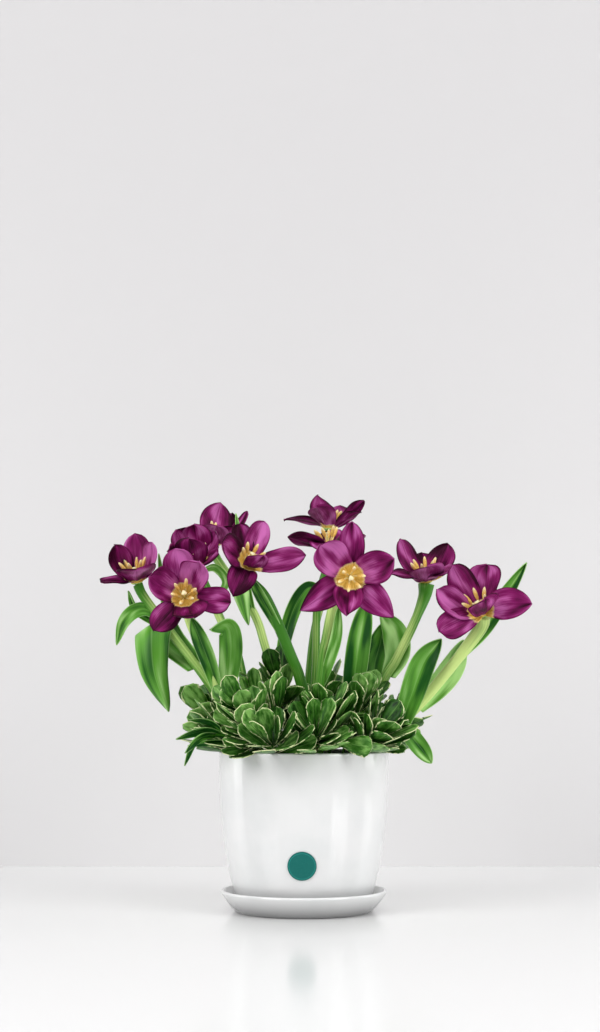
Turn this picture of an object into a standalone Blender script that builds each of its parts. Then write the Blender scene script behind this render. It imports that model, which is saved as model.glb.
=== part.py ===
"""A white glazed pot of ten open purple tulips, underplanted with sprigs of cream-edged leaves.

Every length in this file is in millimetres and becomes metres when a mesh is made.
+X is to the viewer's right, -Y is towards the viewer and +Z is up.
The origin is the centre of the saucer's flat underside.
"""

import math
import random
from collections import namedtuple

import bmesh
import bpy
from mathutils import Vector
from mathutils.bvhtree import BVHTree

MM = 0.001
GAP = 0.3
LATHE_STEPS = 32

# Pot
RIM_HEIGHT = 170.0
RIM_RADIUS = 90.5
FOOT_RADIUS = 70.0
POT_CURVE_POWER = 2.6
POT_WALL = 4.0
POT_FLOOR = 6.0
RIM_ROUNDING = 1.2
FOOT_ROUNDING = 3.0
POT_CURVE_HEIGHTS = (24.0, 50.0, 80.0, 118.0)

# Saucer
SAUCER_BASE_RADIUS = 72.0
SAUCER_LIP_RADIUS = 88.7
SAUCER_HEIGHT = 23.0
SAUCER_FLOOR = 4.5
SAUCER_WALL = 3.0
SAUCER_OUTER_CURVE = ((76.6, 3.6), (83.4, 11.8))
POT_FOOT_HEIGHT = SAUCER_FLOOR + GAP

# Soil
SOIL_HEIGHT = 160.0
SOIL_CROWN = 3.0
STEM_FOOT_HEIGHT = 130.0
SPRIG_FOOT_HEIGHT = 138.0
HOLE_CLEARANCE = 0.4

# Round blank label on the front of the pot
LABEL_RADIUS = 15.0
LABEL_THICKNESS = 0.6
LABEL_HEIGHT = 55.0
LABEL_ACROSS = -2.0
LABEL_STEPS = 14

# Tulip blooms
PETAL_THICKNESS = 1.0
OUTER_PETAL_CUP = 0.14
INNER_PETAL_CUP = 0.30
# How far out and up a petal's middle bulges, as shares of its length
PETAL_BULGE_OUT = 0.36
OUTER_PETAL_BULGE_UP = 0.20
INNER_PETAL_BULGE_UP = 0.28
# The share of its length by which a petal has turned its face to the viewer
PETAL_TURN_LENGTH = 0.4
# How far along the petal each row of points lies, and its half-width there as a share
PETAL_OUTLINE = ((0.0, 0.0), (0.24, 0.66), (0.58, 1.0), (0.86, 0.7), (1.0, 0.0))
HEART_RADIUS = 7.0
HEART_HALF_THICKNESS = 1.2
PETAL_ROOT_RADIUS = 4.0
INNER_PETAL_RISE = 0.6
STAMEN_COUNT = 6
STAMEN_LENGTH = 19.0
STAMEN_LEAN = 0.42
STAMEN_RADIUS = 0.8
ANTHER_RADIUS = 1.8
PISTIL_HEIGHT = 15.0
PISTIL_RADIUS = 2.2

# Tulip stems and leaves
STEM_SIDES = 6
STEM_RINGS = 7
NECK_LENGTH = 17.0
LEAF_THICKNESS = 1.0
SPRIG_STEM_SIDES = 4

# Underplanted sprigs
SPRIG_LEAVES = 7
SPRIG_STEM_RADIUS = 1.5
SPRIG_LEAF_LENGTH = (38.0, 50.0)
SPRIG_LEAF_HALF_WIDTH = (8.5, 11.0)
SPRIG_LEAF_THICKNESS = 0.9
SPRIG_LEAF_OUTLINE = ((0.0, 0.0), (0.6, 0.74), (0.87, 1.0), (1.0, 0.0))
SPRIG_TRIES = 40
CLEARANCE = 0.45
GOLDEN_ANGLE = math.radians(137.5)

PURPLE = (0.26, 0.02, 0.12)
YELLOW = (0.75, 0.42, 0.06)
STEM_GREEN = (0.13, 0.36, 0.06)
SPRIG_GREEN = (0.06, 0.2, 0.035)
WHITE_GLAZE = (0.84, 0.84, 0.84)
SOIL_BROWN = (0.05, 0.03, 0.018)
LABEL_TEAL = (0.02, 0.16, 0.155)

Solid = namedtuple("Solid", "points faces")
Bloom = namedtuple("Bloom", "heart outer inner stem radius flare")
Petal = namedtuple("Petal", "right up towards half_width facing")
Leaf = namedtuple("Leaf", "path half_width across_at_root across_at_tip fold")
Ring = namedtuple("Ring", "count soil_radius crown_radius crown_height")

# Each bloom: its heart, where the petals join; its outer and inner petals; its stem's course up
# from the soil; the stem's radius, and its radius just under the bloom. Each petal: its tip from
# the heart, as right, up and towards the viewer; its half-width; and how far its face is turned to
# the viewer, from 0 to 1.
BLOOMS = {
    1: Bloom(
        (-179, 14, 351),
        (
            Petal(-4, 54, -18, 16, 0),
            Petal(16, 42, 10, 16, 0.4),
            Petal(-36, -2, 26, 9, 0.35),
        ),
        (
            Petal(7, 45, -22, 17, 0),
            Petal(4, 10, 46, 21, 0.2),
            Petal(-23, 40, 4, 17, 0.3),
        ),
        ((-50, -8, STEM_FOOT_HEIGHT), (-72, -3, 195), (-104, 3, 246), (-144, 8, 299)),
        4.8,
        5.5,
    ),
    2: Bloom(
        (-122, -80, 329),
        (
            Petal(-8, 49, 12, 16, 0),
            Petal(-29, -35, 24, 14, 0.2),
            Petal(48, -6, 14, 14, 0),
        ),
        (
            Petal(16, 34, 34, 16, 0),
            Petal(-33, 20, 28, 17, 0),
            Petal(12, -22, 40, 19, 0),
        ),
        ((-62, -25, STEM_FOOT_HEIGHT), (-86, -35, 219), (-102, -45, 267), (-117, -53, 302)),
        4.6,
        5.0,
    ),
    3: Bloom(
        (-115, 36, 373),
        (
            Petal(-4, 42, 2, 18, 0),
            Petal(24, 8, 36, 15, 0.3),
            Petal(-30, 12, 28, 16, 0.3),
        ),
        (
            Petal(20, 34, 4, 17, 0),
            Petal(-8, 24, 30, 18, 0.3),
            Petal(-22, 36, 6, 17, 0),
        ),
        ((-43, 22, STEM_FOOT_HEIGHT), (-68, 38, 259), (-77, 40, 281), (-100, 44, 334)),
        4.6,
        5.0,
    ),
    4: Bloom(
        (-99, 82, 399),
        (
            Petal(6, 47, -20, 18, 0.6),
            Petal(36, 36, -6, 6, 0.6),
            Petal(4, 16, 34, 15, 0.4),
        ),
        (
            Petal(18, 36, -30, 15, 0.3),
            Petal(30, 14, 22, 15, 0),
            Petal(-22, 14, 22, 14, 0.5),
        ),
        ((-13, 30, STEM_FOOT_HEIGHT), (-20, 39, 208), (-41, 51, 279), (-56, 59, 322)),
        4.6,
        5.0,
    ),
    5: Bloom(
        (-59, -46, 365),
        (
            Petal(61, 9, 10, 14, 0.5),
            Petal(-8, 44, -12, 12, 0.3),
            Petal(-14, -34, 24, 15, 0.4),
        ),
        (
            Petal(17, 47, -20, 12, 0.1),
            Petal(-25, 19, 34, 17, 0.5),
            Petal(18, 6, 42, 10, 0.3),
        ),
        ((22, -14, STEM_FOOT_HEIGHT), (-1, -25, 235), (-14, -32, 272), (-39, -39, 329)),
        5.8,
        5.8,
    ),
    6: Bloom(
        (28, 92, 416),
        (
            Petal(-50, 9, 8, 8, 0.3),
            Petal(39, 30, 12, 9, 0.4),
            Petal(14, 30, -40, 16, 0),
        ),
        (
            Petal(-14, 20, 38, 15, 0.3),
            Petal(36, 18, 8, 9, 0.3),
            Petal(-12, 40, -24, 14, 0.2),
        ),
        ((-4, 48, STEM_FOOT_HEIGHT), (9, 76, 280), (20, 93, 336), (27, 102, 382)),
        4.4,
        5.0,
    ),
    7: Bloom(
        (27, 24, 389),
        (
            Petal(-44, 9, 20, 12, 0.3),
            Petal(0, 22, -40, 16, 0),
            Petal(34, -4, 30, 15, 0.2),
        ),
        (
            Petal(-34, 16, -30, 12, 0),
            Petal(40, 13, -22, 16, 0),
            Petal(-5, -6, 40, 16, 0),
        ),
        ((1, 8, STEM_FOOT_HEIGHT), (12, 14, 246), (14, 18, 319), (20, 18, 351)),
        4.2,
        5.0,
    ),
    8: Bloom(
        (47, -82, 350),
        (
            Petal(2, 55, 12, 13, 0),
            Petal(44, -42, 8, 15, 0),
            Petal(-51, -35, 6, 15, 0),
        ),
        (
            Petal(44, 16, 22, 17, 0),
            Petal(-4, -41, 28, 15, 0),
            Petal(-31, 30, 26, 18, 0),
        ),
        ((6, -38, STEM_FOOT_HEIGHT), (18, -46, 256), (23, -49, 287), (31, -55, 324)),
        5.0,
        5.4,
    ),
    9: Bloom(
        (133, 36, 353),
        (
            Petal(-28, 47, -8, 12, 0.3),
            Petal(25, 42, -12, 17, 0.4),
            Petal(-2, 13, 44, 19, 0.2),
        ),
        (
            Petal(-2, 34, -34, 14, 0),
            Petal(24, 10, 32, 13, 0.2),
            Petal(-40, 6, 26, 9, 0.3),
        ),
        ((50, 6, STEM_FOOT_HEIGHT), (82, 13, 235), (99, 18, 267), (117, 25, 303)),
        5.0,
        9.0,
    ),
    10: Bloom(
        (185, -52, 314),
        (
            Petal(-32, 50, 4, 15, 0.3),
            Petal(-46, -20, 20, 15, 0.9),
            Petal(49, 9, 18, 17, 0.7),
        ),
        (
            Petal(7, 52, -18, 18, 0.2),
            Petal(-48, 24, 24, 14, 0.8),
            Petal(-2, 13, 40, 17, 0.3),
        ),
        ((55, -18, STEM_FOOT_HEIGHT), (78, -18, 172), (93, -19, 191), (127, -22, 226), (159, -29, 265)),
        5.8,
        8.5,
    ),
}

# The leaves on each tulip's stem: the course of each one's middle from inside the stem to its tip,
# its half-width, the way its width lies at its root and at its tip, and how far it is folded.
RIGHT = (1.0, 0.0, 0.0)
TO_VIEWER = Vector((0.0, -1.0, 0.0))
TULIP_LEAVES = {
    1: (
        Leaf(
            (
                (-115, 5, 261),
                (-141, 24, 285),
                (-156, 20, 303),
                (-161, -4, 296),
                (-158, -15, 254),
                (-143, -13, 212),
            ),
            19.0,
            (0.7, 0.0, 0.7),
            (0.95, 0.0, -0.3),
            0.1,
        ),
        Leaf(
            ((-148, 8, 304), (-164, 11, 320), (-180, 11, 320), (-193, 9, 307), (-200, 6, 283)),
            8.5,
            (0.7, 0.0, 0.7),
            (-0.95, 0.0, 0.3),
            0.2,
        ),
        Leaf(
            ((-145, 8, 300), (-165, 18, 310), (-182, 21, 323), (-189, 21, 342)),
            4.5,
            (0.4, 0.0, 0.9),
            RIGHT,
            0.2,
        ),
        Leaf(((-144, 8, 299), (-150, 19, 332), (-156, 20, 382)), 4.0, RIGHT, RIGHT, 0.3),
    ),
    2: (
        Leaf(
            ((-89, -37, 230), (-98, -52, 262), (-108, -61, 289), (-116, -65, 310)),
            9.5,
            (0.9, 0.0, 0.3),
            (0.9, 0.0, 0.4),
            0.35,
        ),
        Leaf(
            ((-86, -35, 219), (-82, -38, 252), (-82, -44, 284), (-90, -52, 303), (-103, -58, 304)),
            15.0,
            RIGHT,
            (0.75, 0.0, 0.65),
            0.2,
        ),
    ),
    3: (
        Leaf(
            ((-98, 43, 331), (-85, 52, 353), (-97, 56, 369), (-113, 55, 365)),
            5.0,
            (0.9, 0.0, -0.4),
            (-0.3, 0.0, 0.95),
            0.2,
        ),
    ),
    4: (
        Leaf(
            ((-61, 61, 328), (-68, 66, 347), (-71, 57, 356), (-68, 46, 339), (-60, 40, 306)),
            11.5,
            RIGHT,
            (1.0, 0.0, 0.2),
            0.2,
        ),
        Leaf(((-54, 58, 317), (-63, 47, 357), (-69, 46, 394), (-74, 47, 428)), 4.0, RIGHT, RIGHT, 0.3),
        Leaf(
            ((-27, 44, 236), (-22, 45, 284), (-11, 48, 323), (4, 52, 347), (20, 56, 346)),
            9.0,
            RIGHT,
            (0.1, 0.0, -1.0),
            0.25,
        ),
    ),
    5: (
        Leaf(((-19, -33, 285), (-36, -44, 316), (-48, -48, 337), (-56, -48, 352)), 6.0, RIGHT, RIGHT, 0.35),
    ),
    8: (Leaf(((18, -43, 240), (27, -51, 266), (34, -58, 293), (36, -63, 322)), 6.5, RIGHT, RIGHT, 0.35),),
    9: (
        Leaf(
            ((67, 9, 198), (54, 4, 230), (57, 4, 272), (63, 6, 308), (69, 6, 334)),
            14.0,
            RIGHT,
            RIGHT,
            0.2,
        ),
        Leaf(((78, 12, 225), (76, 27, 258), (83, 35, 286), (88, 37, 310)), 14.0, RIGHT, RIGHT, 0.25),
        Leaf(
            ((91, 15, 250), (101, 26, 273), (98, 31, 298), (83, 27, 319)),
            16.0,
            RIGHT,
            (0.8, 0.0, 0.6),
            0.15,
        ),
    ),
    10: (
        Leaf(
            ((112, -21, 208), (113, -34, 235), (125, -43, 265), (143, -45, 288)),
            15.0,
            RIGHT,
            (0.8, 0.0, -0.6),
            0.25,
        ),
        Leaf(
            ((120, -21, 216), (142, -12, 238), (159, -13, 262), (168, -19, 288)),
            14.5,
            (0.7, 0.0, -0.7),
            (0.95, 0.0, -0.3),
            0.2,
        ),
        Leaf(
            ((159, -29, 266), (188, -10, 296), (211, -8, 331), (236, -12, 370)),
            9.5,
            (0.8, -0.2, -0.5),
            (0.85, 0.0, -0.5),
            0.3,
        ),
        Leaf(
            ((77, -18, 170), (88, -25, 192), (106, -30, 192), (121, -29, 176), (134, -30, 158)),
            9.0,
            (0.8, 0.0, -0.6),
            (-0.8, 0.0, -0.6),
            0.2,
        ),
    ),
}

# Where the sprigs stand: outside ones lean over the rim, inner ones stand up
SPRIG_RINGS = (
    Ring(12, 63.0, 87.0, 187.0),
    Ring(8, 43.0, 60.0, 206.0),
    Ring(3, 18.0, 26.0, 226.0),
)
SPRIG_TWIST = 0.22

# A spray of narrow pointed leaves hangs over the rim on the left
SPRAY_STEM = ((-64, -38, STEM_FOOT_HEIGHT), (-68, -40, 168), (-80, -43, 186), (-97, -48, 189))
SPRAY_LEAVES = (
    Leaf(((-82, -44, 187), (-104, -52, 192), (-132, -60, 184)), 5.5, (0, -0.4, 0.9), (0, -0.4, 0.9), 0.2),
    Leaf(((-92, -47, 188), (-107, -60, 185), (-122, -70, 170)), 5.0, (0, -0.4, 0.9), (-0.5, -0.4, 0.7), 0.2),
    Leaf(((-96, -48, 189), (-113, -43, 181), (-124, -47, 156)), 4.0, (0, -0.4, 0.9), (-0.8, -0.2, 0.4), 0.2),
)


def material(name, colour, roughness):
    """A plain surface of one colour."""
    surface = bpy.data.materials.new(name)
    surface.use_nodes = True
    shader = surface.node_tree.nodes["Principled BSDF"]
    shader.inputs["Base Color"].default_value = (*colour, 1.0)
    shader.inputs["Roughness"].default_value = roughness
    shader.inputs["Metallic"].default_value = 0.0
    surface.diffuse_color = (*colour, 1.0)
    return surface


def add_object(name, solid, surface):
    """A mesh object in metres from a solid in millimetres."""
    mesh = bpy.data.meshes.new(name)
    mesh.from_pydata([Vector(point) * MM for point in solid.points], [], solid.faces)
    mesh.materials.append(surface)
    thing = bpy.data.objects.new(name, mesh)
    bpy.context.scene.collection.objects.link(thing)
    return thing


def combine(thing, others, operation):
    """Apply one Boolean on a collection, then remove the collection's objects."""
    group = bpy.data.collections.new(thing.name + "_pieces")
    bpy.context.scene.collection.children.link(group)
    for other in others:
        group.objects.link(other)
    boolean = thing.modifiers.new("combine", "BOOLEAN")
    boolean.operation = operation
    boolean.operand_type = "COLLECTION"
    boolean.collection = group
    boolean.solver = "EXACT"
    bpy.context.view_layer.objects.active = thing
    bpy.ops.object.modifier_apply(modifier=boolean.name)
    for other in others:
        bpy.data.objects.remove(other)
    bpy.data.collections.remove(group)


def fuse(name, solids, surface):
    """One node grown together from overlapping solids."""
    thing = add_object(name, solids[0], surface)
    others = [add_object(f"{name}_piece", solid, surface) for solid in solids[1:]]
    combine(thing, others, "UNION")
    return thing


def smooth_course(points, count):
    """Points along a smooth curve through the given ones, ends included."""
    known = [Vector(point) for point in points]
    known.insert(0, 2 * known[0] - known[1])
    known.append(2 * known[-1] - known[-2])
    spans = len(known) - 3
    course = []
    for index in range(count):
        place = spans * index / (count - 1)
        span = min(int(place), spans - 1)
        t = place - span
        before, start, end, after = known[span : span + 4]
        course.append(
            0.5
            * (
                2 * start
                + (end - before) * t
                + (2 * before - 5 * start + 4 * end - after) * t**2
                + (3 * start - before - 3 * end + after) * t**3
            )
        )
    return course


def directions(course):
    """The unit direction of travel at each point of a course."""
    last = len(course) - 1
    return [(course[min(i + 1, last)] - course[max(i - 1, 0)]).normalized() for i in range(last + 1)]


def tube(course, radii, sides, end_direction=None):
    """A closed round stem along a course."""
    headings = directions(course)
    if end_direction is not None:
        headings[-1] = end_direction
    side = headings[0].orthogonal().normalized()
    points = []
    for centre, heading, radius in zip(course, headings, radii):
        side = (side - heading * side.dot(heading)).normalized()
        other = heading.cross(side)
        for step in range(sides):
            angle = 2 * math.pi * step / sides
            points.append(centre + (side * math.cos(angle) + other * math.sin(angle)) * radius)
    faces = [tuple(reversed(range(sides)))]
    for ring in range(len(course) - 1):
        for step in range(sides):
            a = ring * sides + step
            b = ring * sides + (step + 1) % sides
            faces.append((a, b, b + sides, a + sides))
    top = (len(course) - 1) * sides
    faces.append(tuple(range(top, top + sides)))
    return Solid(points, faces)


def blade(course, sides, half_widths, columns, cup, thickness):
    """A thin closed blade, both faces split into triangles alike.

    Each row of points runs across the course. A row of no width is one point.
    """
    headings = directions(course)
    front = []
    back = []
    rows = []
    for centre, side, heading, half_width in zip(course, sides, headings, half_widths):
        side = (side - heading * side.dot(heading)).normalized()
        face = side.cross(heading)
        row = []
        for column in range(columns + 1):
            across = 2 * column / columns - 1
            if half_width == 0.0:
                across = 0.0
            lift = cup * half_width * (abs(across) ** 1.6 - 0.4)
            point = centre + side * (across * half_width) + face * lift
            row.append(len(front))
            front.append(point + face * (thickness / 2))
            back.append(point - face * (thickness / 2))
            if half_width == 0.0:
                break
        rows.append(row)
    triangles = []
    for low, high in zip(rows, rows[1:]):
        if len(low) == 1:
            triangles += [(low[0], high[i + 1], high[i]) for i in range(columns)]
        elif len(high) == 1:
            triangles += [(low[i], low[i + 1], high[0]) for i in range(columns)]
        else:
            for i in range(columns):
                a, b, c, d = low[i], low[i + 1], high[i + 1], high[i]
                if 2 * i < columns:
                    triangles += [(a, b, d), (b, c, d)]
                else:
                    triangles += [(a, b, c), (a, c, d)]
    edge = rows[0] + [row[-1] for row in rows[1:]]
    if len(rows[-1]) > 1:
        edge += list(reversed(rows[-1][:-1]))
    edge += [row[0] for row in reversed(rows[1:-1])]
    behind = len(front)
    faces = triangles + [(c + behind, b + behind, a + behind) for a, b, c in triangles]
    for a, b in zip(edge, edge[1:] + edge[:1]):
        faces.append((b, a, a + behind))
        faces.append((b, a + behind, b + behind))
    return Solid(front + back, faces)


def disc(centre, axis, radius, half_thickness, sides):
    """A short round plate across an axis."""
    course = [centre - axis * half_thickness, centre + axis * half_thickness]
    return tube(course, (radius, radius), sides)


def lathe(name, outline, surface, steps=LATHE_STEPS):
    """A turned solid from an outline of (radius, height) points that starts and ends on the axis."""
    mesh = bpy.data.meshes.new(name)
    shape = bmesh.new()
    corners = [shape.verts.new((radius * MM, 0.0, height * MM)) for radius, height in outline]
    for start, end in zip(corners, corners[1:]):
        shape.edges.new((start, end))
    profile = list(shape.verts) + list(shape.edges)
    bmesh.ops.spin(
        shape,
        geom=profile,
        cent=(0.0, 0.0, 0.0),
        axis=(0.0, 0.0, 1.0),
        angle=2 * math.pi,
        steps=steps,
        use_merge=True,
    )
    bmesh.ops.remove_doubles(shape, verts=shape.verts, dist=1e-6)
    bmesh.ops.recalc_face_normals(shape, faces=shape.faces)
    shape.to_mesh(mesh)
    shape.free()
    mesh.materials.append(surface)
    mesh.shade_smooth()
    mesh.set_sharp_from_angle(angle=math.radians(40))
    thing = bpy.data.objects.new(name, mesh)
    bpy.context.scene.collection.objects.link(thing)
    return thing


def pot_radius(height):
    """The pot's outer radius at a height: nearly upright, drawn in towards the foot."""
    below_rim = (RIM_HEIGHT - height) / (RIM_HEIGHT - POT_FOOT_HEIGHT)
    return RIM_RADIUS - (RIM_RADIUS - FOOT_RADIUS) * below_rim**POT_CURVE_POWER


def make_pot():
    """The pot: one open glazed shell with a flat floor."""
    floor_top = POT_FOOT_HEIGHT + POT_FLOOR
    outline = [(0.0, POT_FOOT_HEIGHT), (FOOT_RADIUS - 2 * FOOT_ROUNDING, POT_FOOT_HEIGHT)]
    outline.append((FOOT_RADIUS - 0.7 * FOOT_ROUNDING, POT_FOOT_HEIGHT + 0.3 * FOOT_ROUNDING))
    for height in (POT_FOOT_HEIGHT + 1.5 * FOOT_ROUNDING, *POT_CURVE_HEIGHTS):
        outline.append((pot_radius(height), height))
    outline.append((RIM_RADIUS, RIM_HEIGHT - RIM_ROUNDING))
    outline.append((RIM_RADIUS - RIM_ROUNDING, RIM_HEIGHT))
    outline.append((RIM_RADIUS - POT_WALL + RIM_ROUNDING, RIM_HEIGHT))
    outline.append((RIM_RADIUS - POT_WALL, RIM_HEIGHT - RIM_ROUNDING))
    for height in reversed(POT_CURVE_HEIGHTS):
        outline.append((pot_radius(height) - POT_WALL, height))
    outline.append((pot_radius(floor_top) - POT_WALL - 5.0, floor_top))
    outline.append((0.0, floor_top))
    return lathe("pot", outline, material("white_glaze", WHITE_GLAZE, 0.12))


def make_saucer():
    """The saucer: a flat floor and a wall that leans out to a rounded lip."""
    wall_inside = SAUCER_LIP_RADIUS - SAUCER_WALL
    outline = [
        (0.0, 0.0),
        (SAUCER_BASE_RADIUS, 0.0),
        *SAUCER_OUTER_CURVE,
        (SAUCER_LIP_RADIUS - 0.6, SAUCER_HEIGHT - 3.0),
        (SAUCER_LIP_RADIUS, SAUCER_HEIGHT - 1.0),
        (SAUCER_LIP_RADIUS - 1.0, SAUCER_HEIGHT),
        (wall_inside + 0.6, SAUCER_HEIGHT - 0.4),
        (wall_inside - 0.8, SAUCER_HEIGHT - 3.0),
        (SAUCER_BASE_RADIUS + 2.0, SAUCER_FLOOR + 1.0),
        (SAUCER_BASE_RADIUS, SAUCER_FLOOR),
        (0.0, SAUCER_FLOOR),
    ]
    lathe("saucer", outline, material("white_glaze_saucer", WHITE_GLAZE, 0.12))


def make_label():
    """The round blank label, curved to lie against the pot's front."""
    inside = []
    outside = []
    places = [(0.0, 0.0)]
    for radius in (LABEL_RADIUS * 0.5, LABEL_RADIUS):
        for step in range(LABEL_STEPS):
            angle = 2 * math.pi * step / LABEL_STEPS
            places.append((radius * math.cos(angle), radius * math.sin(angle)))
    for across, up in places:
        height = LABEL_HEIGHT + up
        radius = pot_radius(height) + GAP
        angle = (LABEL_ACROSS + across) / radius
        inside.append(Vector((radius * math.sin(angle), -radius * math.cos(angle), height)))
        outer = radius + LABEL_THICKNESS
        outside.append(Vector((outer * math.sin(angle), -outer * math.cos(angle), height)))
    triangles = []
    for step in range(LABEL_STEPS):
        a = 1 + step
        b = 1 + (step + 1) % LABEL_STEPS
        triangles.append((0, a, b))
        triangles.append((a, a + LABEL_STEPS, b + LABEL_STEPS))
        triangles.append((a, b + LABEL_STEPS, b))
    behind = len(outside)
    faces = list(triangles)
    faces += [(c + behind, b + behind, a + behind) for a, b, c in triangles]
    for step in range(LABEL_STEPS):
        a = 1 + LABEL_STEPS + step
        b = 1 + LABEL_STEPS + (step + 1) % LABEL_STEPS
        faces.append((b, a, a + behind))
        faces.append((b, a + behind, b + behind))
    add_object("label", Solid(outside + inside, faces), material("teal_label", LABEL_TEAL, 0.3))


def bloom_axis(bloom):
    """The way a bloom opens: the mean direction of its petals."""
    return sum((petal_reach(petal) for petal in bloom.outer + bloom.inner), Vector()).normalized()


def petal_reach(petal):
    """From a bloom's heart to a petal's tip."""
    return Vector((petal.right, -petal.towards, petal.up))


def petal_solid(petal, heart, axis, inner):
    """One pointed petal that rises along the bloom's axis and opens out to its tip."""
    reach = petal_reach(petal)
    length = reach.length
    outwards = (reach - axis * reach.dot(axis)).normalized()
    start = heart + outwards * PETAL_ROOT_RADIUS + axis * (INNER_PETAL_RISE * inner)
    rise = INNER_PETAL_BULGE_UP if inner else OUTER_PETAL_BULGE_UP
    bulge = heart + outwards * (PETAL_BULGE_OUT * length) + axis * (rise * length)
    end = heart + reach
    course = []
    for t, _ in PETAL_OUTLINE:
        course.append(start * (1 - t) ** 2 + bulge * (2 * t * (1 - t)) + end * t**2)
    side = outwards.cross(axis)
    turned_to_viewer = reach.cross(TO_VIEWER).normalized()
    if turned_to_viewer.dot(side) < 0:
        turned_to_viewer.negate()
    sides = []
    widths = []
    for t, share in PETAL_OUTLINE:
        sides.append(side.lerp(turned_to_viewer, petal.facing * min(1.0, t / PETAL_TURN_LENGTH)))
        widths.append(petal.half_width * share)
    cup = INNER_PETAL_CUP if inner else OUTER_PETAL_CUP
    return blade(course, sides, widths, 2, cup, PETAL_THICKNESS)


def make_petals(number, bloom, surface):
    """Three outer and three inner petals on one small heart."""
    heart = Vector(bloom.heart)
    axis = bloom_axis(bloom)
    solids = [disc(heart, axis, HEART_RADIUS, HEART_HALF_THICKNESS, 8)]
    solids += [petal_solid(petal, heart, axis, 0) for petal in bloom.outer]
    solids += [petal_solid(petal, heart, axis, 1) for petal in bloom.inner]
    return fuse(f"tulip_{number}_petals", solids, surface)


def make_centre(number, bloom, surface):
    """Six stamens round a pistil with a broad three-sided top, on a small base."""
    axis = bloom_axis(bloom)
    floor = Vector(bloom.heart) + axis * (HEART_HALF_THICKNESS + GAP)
    across = axis.orthogonal().normalized()
    other = axis.cross(across)
    base_radius = PETAL_ROOT_RADIUS - 0.8
    solids = [tube([floor, floor + axis * 1.8], (base_radius, base_radius), 6)]
    pistil = [floor + axis * (PISTIL_HEIGHT * share) for share in (0.06, 0.75, 1.0)]
    solids.append(tube(pistil, (PISTIL_RADIUS, PISTIL_RADIUS * 0.8, PISTIL_RADIUS * 1.5), 3))
    for stamen in range(STAMEN_COUNT):
        angle = 2 * math.pi * (stamen + 0.5) / STAMEN_COUNT
        outwards = across * math.cos(angle) + other * math.sin(angle)
        foot = floor + axis * 0.6 + outwards * (base_radius * 0.72)
        lean = (axis + outwards * STAMEN_LEAN).normalized()
        course = [foot + lean * (STAMEN_LENGTH * share) for share in (0.0, 0.6, 1.0)]
        solids.append(tube(course, (STAMEN_RADIUS, ANTHER_RADIUS, STAMEN_RADIUS), 3))
    return fuse(f"tulip_{number}_centre", solids, surface)


def stem_course(bloom):
    """A tulip stem's middle line, from its foot in the soil to just under the bloom's heart."""
    axis = bloom_axis(bloom)
    top = Vector(bloom.heart) - axis * (HEART_HALF_THICKNESS + GAP)
    neck = top - axis * NECK_LENGTH
    course = smooth_course((*bloom.stem, neck, top), STEM_RINGS)
    course[-1] = top
    return course, axis


def tulip_leaf(leaf):
    """One pointed leaf blade: full along its middle and folded a little along its rib."""
    rows = len(leaf.path) + 1
    course = smooth_course(leaf.path, rows)
    sides = []
    widths = []
    for row in range(rows):
        t = row / (rows - 1)
        sides.append(Vector(leaf.across_at_root).lerp(Vector(leaf.across_at_tip), t))
        widths.append(leaf.half_width * (0.45 + 1.25 * t - 0.62 * t**2) * math.sqrt(1.0 - t**4))
    return blade(course, sides, widths, 2, leaf.fold, LEAF_THICKNESS)


def make_stem(number, bloom, surface):
    """A tulip's stem with the leaves that grow from it."""
    course, axis = stem_course(bloom)
    radii = [bloom.radius] * (STEM_RINGS - 2) + [0.5 * (bloom.radius + bloom.flare), bloom.flare]
    solids = [tube(course, radii, STEM_SIDES, axis)]
    solids += [tulip_leaf(leaf) for leaf in TULIP_LEAVES.get(number, ())]
    return fuse(f"tulip_{number}_stem", solids, surface)


def mesh_of(thing):
    """An object's points, in millimetres, and its faces."""
    points = [thing.matrix_world @ vertex.co / MM for vertex in thing.data.vertices]
    return Solid(points, [tuple(polygon.vertices) for polygon in thing.data.polygons])


def tree_of(solids):
    """A search tree over the faces of several solids."""
    points = []
    faces = []
    for solid in solids:
        first = len(points)
        points += solid.points
        faces += [tuple(index + first for index in face) for face in solid.faces]
    return BVHTree.FromPolygons(points, faces)


def sprig_places():
    """The ring, and the angle in it, where each sprig stands."""
    places = []
    for ring in SPRIG_RINGS:
        for step in range(ring.count):
            places.append((ring, 2 * math.pi * (step + 0.5) / ring.count))
    return places


def sprig_stem(index, ring, angle, attempt):
    """One try at the course of a sprig's stem."""
    draw = random.Random(10_000 * index + attempt)
    angle += draw.uniform(-SPRIG_TWIST, SPRIG_TWIST)
    outwards = Vector((math.cos(angle), math.sin(angle), 0.0))
    foot = outwards * (ring.soil_radius + draw.uniform(-7, 7))
    crown = outwards * (ring.crown_radius + draw.uniform(-7, 7))
    foot.z = SPRIG_FOOT_HEIGHT
    crown.z = ring.crown_height + draw.uniform(-7, 9)
    return [foot, foot.lerp(crown, 0.55) - outwards * 2.0, crown]


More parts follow.
